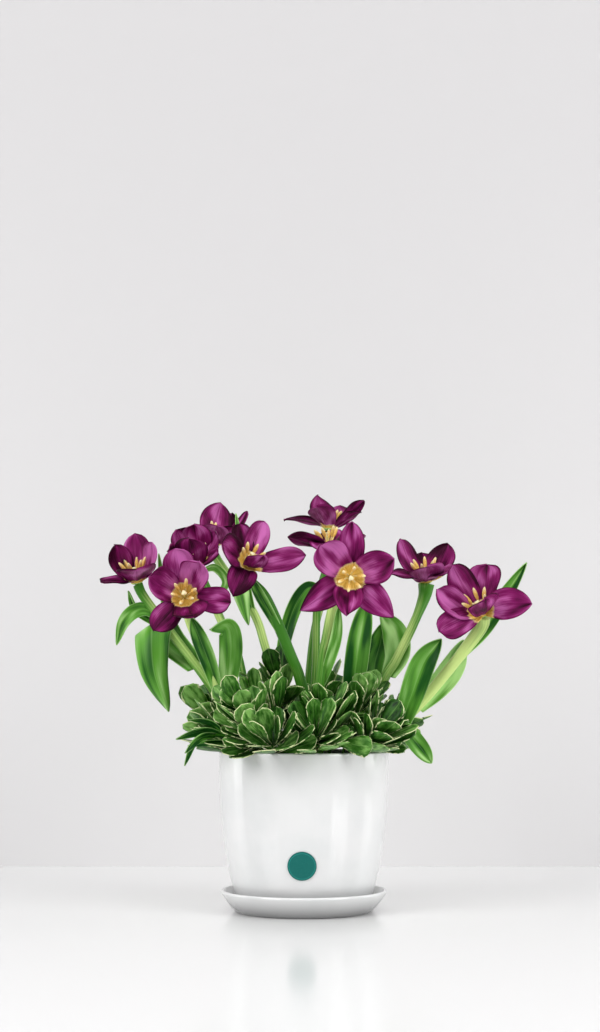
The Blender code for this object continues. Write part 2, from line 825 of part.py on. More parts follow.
def sprig_leaf(course, index, slot, attempt, grow=0.0):
    """One try at a sprig's leaf: narrow at its root, broad and blunt near its end."""
    draw = random.Random(10_000 * index + 500 * (slot + 1) + attempt)
    heading = (course[2] - course[1]).normalized()
    side = heading.orthogonal().normalized()
    turn = slot * GOLDEN_ANGLE + draw.uniform(-0.7, 0.7)
    spread = side * math.cos(turn) + heading.cross(side) * math.sin(turn)
    tilt = math.radians(12 + 9 * slot + draw.uniform(-12, 20))
    way = heading * math.cos(tilt) + spread * math.sin(tilt)
    root = course[2].lerp(course[1], 0.12 * slot)
    length = draw.uniform(*SPRIG_LEAF_LENGTH)
    half_width = draw.uniform(*SPRIG_LEAF_HALF_WIDTH)
    middle = root + way * (0.5 * length) + spread * 2.5
    tip = root + way * length + heading * 2.0
    face = (heading - way * heading.dot(way)).normalized()
    across = way.cross(face)
    roll = draw.uniform(-0.4, 0.4)
    across = across * math.cos(roll) + face * math.sin(roll)
    rows = []
    widths = []
    for t, share in SPRIG_LEAF_OUTLINE:
        rows.append(root * (1 - t) ** 2 + middle * (2 * t * (1 - t)) + tip * t**2)
        widths.append(half_width * share + (grow if share else 0.0))
    rows[-1] += way * grow
    return blade(rows, [across] * len(rows), widths, 1, 0.0, SPRIG_LEAF_THICKNESS + 2 * grow)


def is_clear(solid, tree):
    """Whether a solid meets nothing in the tree."""
    return not tree_of([solid]).overlap(tree)


def grow_sprig(index, ring, angle, standing):
    """One sprig's stem and leaves, kept clear of everything already standing, and the stem's course."""
    tree = tree_of(standing)
    lowest = SOIL_HEIGHT + SOIL_CROWN + 1.0
    radius = SPRIG_STEM_RADIUS
    for attempt in range(SPRIG_TRIES):
        course = sprig_stem(index, ring, angle, attempt)
        if is_clear(tube(course, (radius + 2 * CLEARANCE,) * 3, SPRIG_STEM_SIDES), tree):
            break
    else:
        return None, None
    solids = [tube(course, (radius,) * 3, SPRIG_STEM_SIDES)]
    for slot in range(SPRIG_LEAVES):
        for attempt in range(SPRIG_TRIES):
            wide = sprig_leaf(course, index, slot, attempt, CLEARANCE)
            if min(point.z for point in wide.points) > lowest and is_clear(wide, tree):
                solids.append(sprig_leaf(course, index, slot, attempt))
                break
    return solids, course


def make_soil(courses):
    """The soil that fills the pot, with a plain hole for each stem."""
    outline = [(0.0, POT_FOOT_HEIGHT + POT_FLOOR + GAP)]
    outline.append((FOOT_RADIUS - 11.0, POT_FOOT_HEIGHT + POT_FLOOR + GAP))
    for height in (30.0, 72.0, 134.0, SOIL_HEIGHT):
        outline.append((pot_radius(height) - POT_WALL - 1.2, height))
    outline.append((45.0, SOIL_HEIGHT + 0.8 * SOIL_CROWN))
    outline.append((0.0, SOIL_HEIGHT + SOIL_CROWN))
    surface = material("dark_soil", SOIL_BROWN, 0.95)
    soil = lathe("soil", outline, surface, LATHE_STEPS // 2)
    cutters = []
    for course, radius, sides in courses:
        heading = (course[1] - course[0]).normalized()
        deep = [course[0] - heading * HOLE_CLEARANCE]
        deep += [point for point in course[1:] if point.z < SOIL_HEIGHT + 60.0]
        if deep[-1].z < SOIL_HEIGHT + 10.0:
            deep.append(course[len(deep)])
        radii = [radius + HOLE_CLEARANCE] * len(deep)
        cutters.append(add_object("hole", tube(deep, radii, sides), surface))
    combine(soil, cutters, "DIFFERENCE")


def make_plants(pot):
    """All the tulips, the sprigs and the spray. Returns their stems' courses, radii and sides."""
    purple = material("petal_purple", PURPLE, 0.4)
    yellow = material("centre_yellow", YELLOW, 0.6)
    green = material("stem_green", STEM_GREEN, 0.45)
    dark_green = material("sprig_green", SPRIG_GREEN, 0.5)
    standing = [mesh_of(pot)]
    courses = []
    for number, bloom in BLOOMS.items():
        standing.append(mesh_of(make_petals(number, bloom, purple)))
        standing.append(mesh_of(make_centre(number, bloom, yellow)))
        standing.append(mesh_of(make_stem(number, bloom, green)))
        courses.append((stem_course(bloom)[0], bloom.radius, STEM_SIDES))
    spray_course = smooth_course(SPRAY_STEM, 5)
    spray = [tube(spray_course, (SPRIG_STEM_RADIUS,) * 5, SPRIG_STEM_SIDES)]
    spray += [tulip_leaf(leaf) for leaf in SPRAY_LEAVES]
    standing.append(mesh_of(fuse("drooping_spray", spray, dark_green)))
    courses.append((spray_course, SPRIG_STEM_RADIUS, SPRIG_STEM_SIDES))
    for index, (ring, angle) in enumerate(sprig_places(), start=1):
        solids, course = grow_sprig(index, ring, angle, standing)
        if solids:
            standing.append(mesh_of(fuse(f"sprig_{index:02d}", solids, dark_green)))
            courses.append((course, SPRIG_STEM_RADIUS, SPRIG_STEM_SIDES))
    return courses


for old in list(bpy.data.objects):
    bpy.data.objects.remove(old)
make_saucer()
make_label()
make_soil(make_plants(make_pot()))
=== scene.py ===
"""The looks of a potted tulip: open purple blooms over cream-edged sprigs, in a white glazed pot.

Lengths are in millimetres and become metres as each mesh is made. +X is to the viewer's right,
-Y is towards the viewer and +Z is up. The origin is the centre of the saucer's flat underside.
"""

import math
import random
from collections import namedtuple

import bpy
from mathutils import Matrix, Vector
from mathutils.bvhtree import BVHTree
from mathutils.kdtree import KDTree


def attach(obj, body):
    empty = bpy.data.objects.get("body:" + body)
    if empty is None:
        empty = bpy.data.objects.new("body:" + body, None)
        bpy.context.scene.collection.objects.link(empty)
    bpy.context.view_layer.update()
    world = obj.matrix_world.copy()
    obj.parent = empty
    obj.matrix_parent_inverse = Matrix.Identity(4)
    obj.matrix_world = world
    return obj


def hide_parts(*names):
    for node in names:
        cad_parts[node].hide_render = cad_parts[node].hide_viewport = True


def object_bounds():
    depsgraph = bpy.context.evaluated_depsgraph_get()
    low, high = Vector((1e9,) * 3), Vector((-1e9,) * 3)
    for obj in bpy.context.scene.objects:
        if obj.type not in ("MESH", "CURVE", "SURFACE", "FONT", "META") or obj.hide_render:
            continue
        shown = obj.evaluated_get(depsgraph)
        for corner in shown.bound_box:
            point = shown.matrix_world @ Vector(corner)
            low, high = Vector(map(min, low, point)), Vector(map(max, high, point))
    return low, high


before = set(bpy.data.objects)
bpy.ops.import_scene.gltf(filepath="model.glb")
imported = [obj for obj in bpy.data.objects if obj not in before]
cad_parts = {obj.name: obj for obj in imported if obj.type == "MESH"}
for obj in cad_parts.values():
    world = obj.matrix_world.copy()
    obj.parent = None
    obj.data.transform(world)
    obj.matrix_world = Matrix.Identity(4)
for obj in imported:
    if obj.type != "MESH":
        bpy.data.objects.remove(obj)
cad_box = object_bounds()
MM = 0.001

# Saucer: a shallow dish of white clay that catches the water, dipped in clear glaze.
# It is turned in one piece, with a flat foot and a wall that leans out to a rounded lip.
SAUCER_FOOT_RADIUS = 72.0
SAUCER_FOOT_WIDTH = 6.5
SAUCER_FOOT_ROUND = 2.4
SAUCER_RECESS = 0.9
SAUCER_RECESS_SLOPE = 1.5
SAUCER_LIP_RADIUS = 88.7
SAUCER_LIP_ROUND = 1.9
SAUCER_HEIGHT = 23.0
SAUCER_FLOOR = 4.5
SAUCER_FLOOR_ROUND = 4.0
SAUCER_OUTER_CURVE = [(76.6, 3.6), (80.2, 7.4), (83.4, 11.8), (86.2, 16.6)]
# Height up to which the saucer's glaze carries painted shade
SAUCER_PAINTED_SHADE_TOP = 26.0
TURNED_SIDES = 160
SMOOTH_UP_TO = math.radians(50)
GLAZE_WHITE = (0.80, 0.80, 0.80, 1.0)
GLAZE_POOLED = (0.75, 0.76, 0.76, 1.0)
# Grey of the painted shade at the foot of the pot and the saucer
GLAZE_PAINTED_SHADE = (0.30, 0.30, 0.30, 1.0)


class Wire:
    """One socket of a material's nodes, so that shader maths reads as plain sums."""

    def __init__(self, tree, socket=None):
        self.tree = tree
        self.socket = socket

    def node(self, kind, settings, inputs, output=0):
        """Adds a node: its settings first, then the values or links of its sockets."""
        made = self.tree.nodes.new(kind)
        for name, value in settings.items():
            setattr(made, name, value)
        for name, value in inputs.items():
            if isinstance(value, Wire):
                self.tree.links.new(value.socket, made.inputs[name])
            else:
                made.inputs[name].default_value = value
        return Wire(self.tree, made.outputs[output])

    def beside(self, output):
        """Another output of the node that this wire leaves."""
        return Wire(self.tree, self.socket.node.outputs[output])

    def maths(self, operation, first, second):
        return self.node("ShaderNodeMath", {"operation": operation}, {0: first, 1: second})

    def __add__(self, other):
        return self.maths("ADD", self, other)

    def __mul__(self, other):
        return self.maths("MULTIPLY", self, other)

    def __sub__(self, other):
        return self.maths("SUBTRACT", self, other)

    def __rsub__(self, other):
        return self.maths("SUBTRACT", other, self)

    def __abs__(self):
        return self.maths("ABSOLUTE", self, 0.0)

    __radd__ = __add__
    __rmul__ = __mul__

    def rises(self, low, high):
        """0 at low, 1 at high and a smooth slope between them."""
        limits = {"Value": self, "From Min": low, "From Max": high}
        return self.node("ShaderNodeMapRange", {"interpolation_type": "SMOOTHSTEP"}, limits)

    def blend(self, first, second):
        """From one colour to the other as this wire goes from 0 to 1."""
        return self.node("ShaderNodeMix", {"data_type": "RGBA"}, {0: self, 6: first, 7: second}, 2)

    def noise(self, scale, detail=3.0, roughness=0.5):
        """Cloudy noise at the place that this wire gives."""
        knobs = {"Vector": self, "Scale": scale, "Detail": detail, "Roughness": roughness}
        return self.node("ShaderNodeTexNoise", {}, knobs)

    def relief(self, height_mm):
        """A bump of this height, for a shader's Normal."""
        knobs = {"Height": self, "Distance": height_mm * MM, "Strength": 1.0}
        return self.node("ShaderNodeBump", {}, knobs)

    def feeds(self, shader, name):
        self.tree.links.new(self.socket, shader.inputs[name])


def new_finish(name, constants):
    """A material, its shader with the values that are the same all over, and a wire to start from."""
    surface = bpy.data.materials.new(name)
    surface.use_nodes = True
    shader = surface.node_tree.nodes["Principled BSDF"]
    for socket, value in constants.items():
        shader.inputs[socket].default_value = value
    return surface, shader, Wire(surface.node_tree)


def glaze(name, painted_shade_below):
    """Clear glaze over white clay: glassy and faintly rippled, with painted shade that greys it towards the
    foot.
    """
    constants = {"Roughness": 0.1, "Coat Weight": 0.5, "Coat Roughness": 0.04, "IOR": 1.5}
    surface, shader, wire = new_finish(name, constants)
    place = wire.node("ShaderNodeTexCoord", {}, {}, "Object")
    height = wire.node("ShaderNodeSeparateXYZ", {}, {0: place}, "Z")
    clouded = place.noise(22.0).rises(0.35, 0.75).blend(GLAZE_WHITE, GLAZE_POOLED)
    # Painted shade: the white glaze fades to grey below the given height, towards the foot
    height.rises(0.0, painted_shade_below * MM).blend(GLAZE_PAINTED_SHADE, clouded).feeds(shader, "Base Color")
    (place.noise(60.0, 2.0) * 0.05 + 0.08).feeds(shader, "Roughness")
    place.noise(16.0, 1.0).relief(0.25).feeds(shader, "Normal")
    return surface


def arc(centre, radius, start, end, steps):
    """Points (radius, height) on a round corner, with its angles in degrees."""
    angles = [math.radians(start + (end - start) * step / steps) for step in range(steps + 1)]
    return [(centre[0] + radius * math.cos(a), centre[1] + radius * math.sin(a)) for a in angles]


def added(name, add, **settings):
    """A new primitive under its name, with nothing else selected."""
    bpy.ops.object.select_all(action="DESELECT")
    add(**settings)
    thing = bpy.context.object
    thing.name = name
    return thing


def turned(name, outline, surface):
    """A closed shape turned about the upright axis from (radius, height) points, axis to axis."""
    thing = added(name, bpy.ops.mesh.primitive_plane_add, size=MM)
    bpy.ops.object.mode_set(mode="EDIT")
    bpy.ops.mesh.merge(type="CENTER")
    bpy.ops.transform.translate(value=(outline[0][0] * MM, 0.0, outline[0][1] * MM))
    for (radius, height), (next_radius, next_height) in zip(outline, outline[1:]):
        step = ((next_radius - radius) * MM, 0.0, (next_height - height) * MM)
        bpy.ops.mesh.extrude_vertices_move(TRANSFORM_OT_translate={"value": step})
    bpy.ops.mesh.select_all(action="SELECT")
    bpy.ops.mesh.spin(steps=TURNED_SIDES, angle=2 * math.pi, center=(0.0, 0.0, 0.0), axis=(0.0, 0.0, 1.0))
    bpy.ops.mesh.select_all(action="SELECT")
    bpy.ops.mesh.remove_doubles(threshold=0.01 * MM)
    bpy.ops.mesh.normals_make_consistent(inside=False)
    bpy.ops.object.mode_set(mode="OBJECT")
    bpy.ops.object.shade_smooth_by_angle(angle=SMOOTH_UP_TO)
    thing.data.materials.append(surface)
    return thing


def settle(piece, slot, *nodes):
    """The piece rides on the pot and stands for its solids, which it hides; its slot is not used."""
    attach(piece, "root")
    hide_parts(*nodes)


foot_inside = SAUCER_FOOT_RADIUS - SAUCER_FOOT_WIDTH
lip_middle = (SAUCER_LIP_RADIUS - SAUCER_LIP_ROUND, SAUCER_HEIGHT - SAUCER_LIP_ROUND)
floor_corner = (SAUCER_FOOT_RADIUS - 2.0, SAUCER_FLOOR + SAUCER_FLOOR_ROUND)
saucer_outline = [(0.0, SAUCER_RECESS), (foot_inside - SAUCER_RECESS_SLOPE, SAUCER_RECESS)]
saucer_outline += [(foot_inside, 0.0)]
saucer_outline += arc((SAUCER_FOOT_RADIUS - 0.5, SAUCER_FOOT_ROUND), SAUCER_FOOT_ROUND, -90, -50, 5)
saucer_outline += SAUCER_OUTER_CURVE
saucer_outline += arc(lip_middle, SAUCER_LIP_ROUND, -25, 170, 12)
saucer_outline += arc(floor_corner, SAUCER_FLOOR_ROUND, -35, -90, 6)
saucer_outline += [(0.0, SAUCER_FLOOR)]
saucer = turned("glazed_saucer", saucer_outline, glaze("saucer_glaze", SAUCER_PAINTED_SHADE_TOP))
settle(saucer, "white_glaze", "saucer")

# Pot: a tall round planter of the same clay, nearly upright and drawn in towards its foot.
# It is turned with a plain rolled rim, glazed inside and out, and stands loose in the saucer.
RIM_HEIGHT = 170.0
RIM_RADIUS = 90.5
RIM_ROLL = 2.4
POT_FOOT_RADIUS = 70.0
POT_FOOT_WIDTH = 8.0
POT_FOOT_ROUND = 4.0
POT_FOOT_RISE = 5.0
POT_RECESS = 0.8
POT_CURVE_POWER = 2.6
POT_WALL = 4.0
POT_FLOOR = 6.0
POT_FLOOR_INSET = 14.0
POT_FOOT_HEIGHT = SAUCER_FLOOR + 0.3
POT_PROFILE_STEPS = 36
# Height up to which the pot's glaze carries painted shade
POT_PAINTED_SHADE_TOP = 36.0


def pot_radius(height):
    """The pot's outer radius at a height."""
    below_rim = (RIM_HEIGHT - height) / (RIM_HEIGHT - POT_FOOT_HEIGHT)
    return RIM_RADIUS - (RIM_RADIUS - POT_FOOT_RADIUS) * below_rim**POT_CURVE_POWER


foot_top = POT_FOOT_HEIGHT + POT_FOOT_RISE
pot_floor_top = POT_FOOT_HEIGHT + POT_FLOOR
recess_top = POT_FOOT_HEIGHT + POT_RECESS
pot_foot_inside = POT_FOOT_RADIUS - POT_FOOT_WIDTH
wall_rise = (RIM_HEIGHT - RIM_ROLL - foot_top) / POT_PROFILE_STEPS
wall_heights = [foot_top + wall_rise * step for step in range(POT_PROFILE_STEPS + 1)]
pot_outline = [(0.0, recess_top), (pot_foot_inside - 1.0, recess_top), (pot_foot_inside, POT_FOOT_HEIGHT)]
pot_outline += arc((pot_radius(foot_top) - POT_FOOT_ROUND, foot_top - 1.0), POT_FOOT_ROUND, -90, -20, 8)
pot_outline += [(pot_radius(height), height) for height in wall_heights]
pot_outline += arc((RIM_RADIUS - POT_WALL / 2, RIM_HEIGHT - POT_WALL / 2), POT_WALL / 2, 5, 175, 12)
pot_outline += [(pot_radius(height) - POT_WALL, height) for height in reversed(wall_heights[3:])]
pot_outline += [(POT_FOOT_RADIUS - POT_FLOOR_INSET, pot_floor_top), (0.0, pot_floor_top)]
pot = turned("glazed_pot", pot_outline, glaze("pot_glaze", POT_PAINTED_SHADE_TOP))
settle(pot, "white_glaze", "pot")

# Label: a round teal paper sticker, bare, with one thin pale ring inside its edge.
# It is stuck on the pot's lower front and follows its curve.
LABEL_RADIUS = 15.0
LABEL_THICKNESS = 0.6
LABEL_HEIGHT = 55.0
LABEL_ACROSS = -2.0
LABEL_GAP = 0.3
LABEL_SIDES = 72
LABEL_RINGS = 10
LABEL_RING_PLACE = 13.4
LABEL_TEAL = (0.004, 0.135, 0.115, 1.0)
LABEL_TEAL_PALER = (0.008, 0.16, 0.14, 1.0)
LABEL_RING_COLOUR = (0.02, 0.24, 0.21, 1.0)


def label_paper():
    """Printed paper with a satin face: teal ink, and the ring by its distance from the middle."""
    surface, shader, wire = new_finish("label_paper", {"Specular IOR Level": 0.2})
    place = wire.node("ShaderNodeTexCoord", {}, {}, "Object")
    middle = (LABEL_ACROSS * MM, -pot_radius(LABEL_HEIGHT) * MM, LABEL_HEIGHT * MM)
    offset = wire.node("ShaderNodeVectorMath", {"operation": "DISTANCE"}, {0: place, 1: middle}, "Value")
    ring = 1 - abs(offset - LABEL_RING_PLACE * MM).rises(0.25 * MM, 0.45 * MM)
    ink = place.noise(900.0, 2.0).rises(0.3, 0.9).blend(LABEL_TEAL, LABEL_TEAL_PALER)
    ring.blend(ink, LABEL_RING_COLOUR).feeds(shader, "Base Color")
    (place.noise(1500.0) * 0.15 + 0.3).feeds(shader, "Roughness")
    place.noise(2500.0).relief(0.03).feeds(shader, "Normal")
    return surface


circle = bpy.ops.mesh.primitive_circle_add
label = added("round_label", circle, vertices=LABEL_SIDES, radius=LABEL_RADIUS * MM, fill_type="NOTHING")
bpy.ops.object.mode_set(mode="EDIT")
bpy.ops.mesh.select_all(action="SELECT")
for ring in range(LABEL_RINGS, 1, -1):
    bpy.ops.mesh.extrude_edges_move()
    share = (ring - 1) / ring
    bpy.ops.transform.resize(value=(share, share, 1.0), center_override=(0.0, 0.0, 0.0))
bpy.ops.mesh.edge_face_add()
bpy.ops.object.mode_set(mode="OBJECT")
for vertex in label.data.vertices:
    height = LABEL_HEIGHT + vertex.co.y / MM
    radius = pot_radius(height) + LABEL_GAP + LABEL_THICKNESS
    angle = (LABEL_ACROSS + vertex.co.x / MM) / radius
    vertex.co = Vector((radius * math.sin(angle), -radius * math.cos(angle), height)) * MM


def harden(thing, kind, settings):
    """Adds one modifier and applies it at once."""
    modifier = thing.modifiers.new(kind.lower(), kind)
    for name, value in settings.items():
        setattr(modifier, name, value)
    bpy.context.view_layer.objects.active = thing
    bpy.ops.object.modifier_apply(modifier=modifier.name)


harden(label, "SOLIDIFY", {"thickness": LABEL_THICKNESS * MM, "offset": -1.0})
label.data.materials.append(label_paper())
bpy.ops.object.shade_smooth_by_angle(angle=SMOOTH_UP_TO)
settle(label, "teal_label", "label")

# Soil: dark, damp potting mix of bark and coir that fills the pot to under its rim.
# It is pressed in round the roots, crumbly on top.
SOIL_HEIGHT = 160.0
SOIL_CROWN = 3.0
SOIL_CRUMB = 1.3
SOIL_RINGS = 34
SOIL_FLOOR_GAP = 0.3
SOIL_SIDE_GAP = 1.2
SOIL_SIDE_HEIGHTS = (30.0, 50.0, 72.0, 104.0, 134.0)
SOIL_DARK = (0.016, 0.010, 0.006, 1.0)
SOIL_BROWN = (0.085, 0.052, 0.03, 1.0)


def soil_finish():
    """Bark and coir crumbs: dark and matte, paler on the dry flakes."""
    surface, shader, wire = new_finish("potting_mix", {"Specular IOR Level": 0.25})
    place = wire.node("ShaderNodeTexCoord", {}, {}, "Object")
    crumbs = wire.node("ShaderNodeTexVoronoi", {"feature": "F1"}, {"Vector": place, "Scale": 420.0})
    flakes = place.noise(260.0, 5.0, 0.65)
    (flakes * 0.7 + crumbs * 0.5).rises(0.35, 0.85).blend(SOIL_DARK, SOIL_BROWN).feeds(shader, "Base Color")
    (0.98 - flakes * 0.15).feeds(shader, "Roughness")
    (flakes + crumbs).relief(1.2).feeds(shader, "Normal")
    return surface


soil_foot = pot_floor_top + SOIL_FLOOR_GAP
soil_edge = pot_radius(SOIL_HEIGHT) - POT_WALL - SOIL_SIDE_GAP
soil_outline = [(0.0, soil_foot), (POT_FOOT_RADIUS - POT_FLOOR_INSET - 1.5, soil_foot)]
soil_outline += [(pot_radius(height) - POT_WALL - SOIL_SIDE_GAP, height) for height in SOIL_SIDE_HEIGHTS]
for ring in range(SOIL_RINGS, -1, -1):
    share = ring / SOIL_RINGS
    soil_outline.append((soil_edge * share, SOIL_HEIGHT + SOIL_CROWN * (1 - share**2)))
soil = turned("potting_soil", soil_outline, soil_finish())
crumbling = random.Random(3)
for vertex in soil.data.vertices:
    if vertex.co.z > (SOIL_HEIGHT - 1.0) * MM and vertex.co.xy.length < (soil_edge - 1.0) * MM:
        vertex.co.z += crumbling.uniform(-SOIL_CRUMB, SOIL_CRUMB) * MM
settle(soil, "potting_soil", "soil")

# Tulip stems: juicy green stalks, ribbed along their length, that flare a little under each bloom.
# Each one grows from its bulb in the soil, and its long parallel-veined leaves clasp it.
Bloom = namedtuple("Bloom", "heart outer inner stem radius flare")
Petal = namedtuple("Petal", "right up towards half_width facing blunt tone")
# How late in its length a leaf narrows: a high power leaves its end round
POINTED = 3.4
ROUND_ENDED = 9.0
Leaf = namedtuple("Leaf", "path half_width across_at_root across_at_tip fold tone end", defaults=(POINTED,))
STEM_FOOT_HEIGHT = 130.0
NECK_LENGTH = 17.0
NECK_BEND = 0.35
HEART_GAP = 1.5
STEM_ROWS = 54
STEM_COLUMNS = 24
STEM_RIB = 0.18
STEM_RIBS = 6
FLARE_START = 0.68
FLARE_POWER = 0.9
LEAF_THICKNESS = 0.9
LEAF_ROWS = 44
LEAF_COLUMNS = 14
LEAF_WAVE = 0.07
LEAF_TAPER = 0.85
TIP_HALF_WIDTH = 0.15
FOLD_POWER = 1.6
FOLD_DROP = 0.4
RIGHT = (1.0, 0.0, 0.0)
STEM_PALE = (0.60, 0.78, 0.25, 1.0)
STEM_FRESH = (0.048, 0.22, 0.012, 1.0)
LEAF_DARK = (0.003, 0.070, 0.003, 1.0)
LEAF_MID = (0.105, 0.330, 0.034, 1.0)
LEAF_LIGHT = (0.49, 0.80, 0.29, 1.0)

# Each bloom: its heart, where the petals join; its outer and inner petals; its stem's course up
# from the soil; the stem's radius, and its radius just under the bloom. Each petal: its tip from
# the heart, as right, up and towards the viewer; its half-width; and, from 0 to 1, how far its
# face is turned to the viewer, how blunt its tip is and how light its purple is.
# A petal's lightness is partly painted light: some petals are made lighter or darker to stand for how lit or
# shaded they are
BLOOMS = {
    1: Bloom(
        (-179, 14, 351),
        (
            Petal(-4, 54, -18, 16, 0, 0.8, 0.7),
            Petal(16, 42, 10, 16, 0.4, 0.8, 1.0),
            Petal(-36, -2, 26, 9, 0.35, 1.0, 0.15),
        ),
        (
            Petal(7, 45, -22, 17, 0, 0.6, 0.6),
            Petal(4, 10, 46, 21, 0.2, 0.9, 0.55),
            Petal(-23, 40, 4, 17, 0.3, 0.9, 0.1),
        ),
        ((-50, -8, STEM_FOOT_HEIGHT), (-72, -3, 195), (-104, 3, 246), (-144, 8, 299)),
        4.8, 5.5,
    ),
    2: Bloom(
        (-122, -80, 329),
        (
            Petal(-8, 49, 12, 16, 0, 0.8, 0.85),
            Petal(-29, -35, 24, 14, 0.2, 0.8, 0.15),
            Petal(48, -6, 14, 14, 0, 1.0, 0.5),
        ),
        (
            Petal(16, 34, 34, 16, 0, 0.9, 1.0),
            Petal(-33, 20, 28, 17, 0, 0.8, 0.7),
            Petal(12, -22, 40, 19, 0, 0.8, 0.35),
        ),
        ((-62, -25, STEM_FOOT_HEIGHT), (-86, -35, 219), (-102, -45, 267), (-117, -53, 302)),
        4.6, 5.0,
    ),
    3: Bloom(
        (-115, 36, 373),
        (
            Petal(-4, 42, 2, 18, 0, 0.8, 0.5),
            Petal(24, 8, 36, 15, 0.3, 0.5, 0.55),
            Petal(-30, 12, 28, 16, 0.3, 0.7, 0.4),
        ),
        (
            Petal(20, 34, 4, 17, 0, 0.6, 0.6),
            Petal(-8, 24, 30, 18, 0.3, 0.8, 0.35),
            Petal(-22, 36, 6, 17, 0, 0.8, 0.25),
        ),
        ((-43, 22, STEM_FOOT_HEIGHT), (-68, 38, 259), (-77, 40, 281), (-100, 44, 334)),
        4.6, 5.0,
    ),
    4: Bloom(
        (-99, 82, 399),
        (
            Petal(6, 47, -20, 18, 0.6, 0.5, 0.55),
            Petal(36, 36, -6, 6, 0.6, 0.8, 0.4),
            Petal(4, 16, 34, 15, 0.4, 0.6, 0.6),
        ),
        (
            Petal(18, 36, -30, 15, 0.3, 0.6, 0.2),
            Petal(30, 14, 22, 15, 0, 0.5, 0.25),
            Petal(-22, 14, 22, 14, 0.5, 0.6, 0.5),
        ),
        ((-13, 30, STEM_FOOT_HEIGHT), (-20, 39, 208), (-41, 51, 279), (-56, 59, 322)),
        4.6, 5.0,
    ),
    5: Bloom(
        (-59, -46, 365),
        (
            Petal(61, 9, 10, 14, 0.5, 0.5, 0.6),
            Petal(-8, 44, -12, 12, 0.3, 0.9, 0.3),
            Petal(-14, -34, 24, 15, 0.4, 0.35, 0.1),
        ),
        (
            Petal(17, 47, -20, 12, 0.1, 0.55, 0.85),
            Petal(-25, 19, 34, 17, 0.5, 0.9, 0.25),
            Petal(18, 6, 42, 10, 0.3, 0.5, 0.5),
        ),
        ((22, -14, STEM_FOOT_HEIGHT), (-1, -25, 235), (-14, -32, 272), (-39, -39, 329)),
        5.8, 5.8,
    ),
    6: Bloom(
        (28, 92, 416),
        (
            Petal(-50, 9, 8, 8, 0.3, 0.8, 0.15),
            Petal(39, 30, 12, 9, 0.4, 0.5, 0.35),
            Petal(14, 30, -40, 16, 0, 0.5, 0.25),
        ),
        (
            Petal(-14, 20, 38, 15, 0.3, 0.5, 0.8),
            Petal(36, 18, 8, 9, 0.3, 0.6, 0.35),
            Petal(-12, 40, -24, 14, 0.2, 0.3, 0.25),
        ),
        ((-4, 48, STEM_FOOT_HEIGHT), (9, 76, 280), (20, 93, 336), (27, 102, 382)),
        4.4, 5.0,
    ),
    7: Bloom(
        (27, 24, 389),
        (
            Petal(-44, 9, 20, 12, 0.3, 0.3, 0.1),
            Petal(0, 22, -40, 16, 0, 0.5, 0.3),
            Petal(34, -4, 30, 15, 0.2, 0.5, 0.4),
        ),
        (
            Petal(-34, 16, -30, 12, 0, 0.3, 0.15),
            Petal(40, 13, -22, 16, 0, 0.5, 0.3),
            Petal(-5, -6, 40, 16, 0, 0.5, 0.3),
        ),
        ((1, 8, STEM_FOOT_HEIGHT), (12, 14, 246), (14, 18, 319), (20, 18, 351)),
        4.2, 5.0,
    ),
    8: Bloom(
        (47, -82, 350),
        (
            Petal(2, 55, 12, 13, 0, 0.6, 0.5),
            Petal(44, -42, 8, 15, 0, 0.15, 0.6),
            Petal(-51, -35, 6, 15, 0, 0.1, 0.55),
        ),
        (
            Petal(44, 16, 22, 17, 0, 0.5, 0.65),
            Petal(-4, -41, 28, 15, 0, 0.15, 0.45),
            Petal(-31, 30, 26, 18, 0, 0.85, 0.9),
        ),
        ((6, -38, STEM_FOOT_HEIGHT), (18, -46, 256), (23, -49, 287), (31, -55, 324)),
        5.0, 5.4,
    ),
    9: Bloom(
        (133, 36, 353),
        (
            Petal(-28, 47, -8, 12, 0.3, 0.9, 0.55),
            Petal(25, 42, -12, 17, 0.4, 0.45, 0.1),
            Petal(-2, 13, 44, 19, 0.2, 0.9, 0.6),
        ),
        (
            Petal(-2, 34, -34, 14, 0, 0.6, 0.1),
            Petal(24, 10, 32, 13, 0.2, 0.6, 0.6),
            Petal(-40, 6, 26, 9, 0.3, 0.5, 0.12),
        ),
        ((50, 6, STEM_FOOT_HEIGHT), (82, 13, 235), (99, 18, 267), (117, 25, 303)),
        5.0, 9.0,
    ),
    10: Bloom(
        (185, -52, 314),
        (
            Petal(-32, 50, 4, 15, 0.3, 0.85, 0.55),
            Petal(-46, -20, 20, 15, 0.9, 1.0, 0.8),
            Petal(49, 9, 18, 17, 0.7, 0.45, 0.65),
        ),
        (
            Petal(7, 52, -18, 18, 0.2, 0.95, 0.5),
            Petal(-48, 24, 24, 14, 0.8, 0.7, 0.75),
            Petal(-2, 13, 40, 17, 0.3, 0.8, 0.45),
        ),
        ((55, -18, STEM_FOOT_HEIGHT), (78, -18, 172), (93, -19, 191), (127, -22, 226), (159, -29, 265)),
        5.8, 8.5,
    ),
}
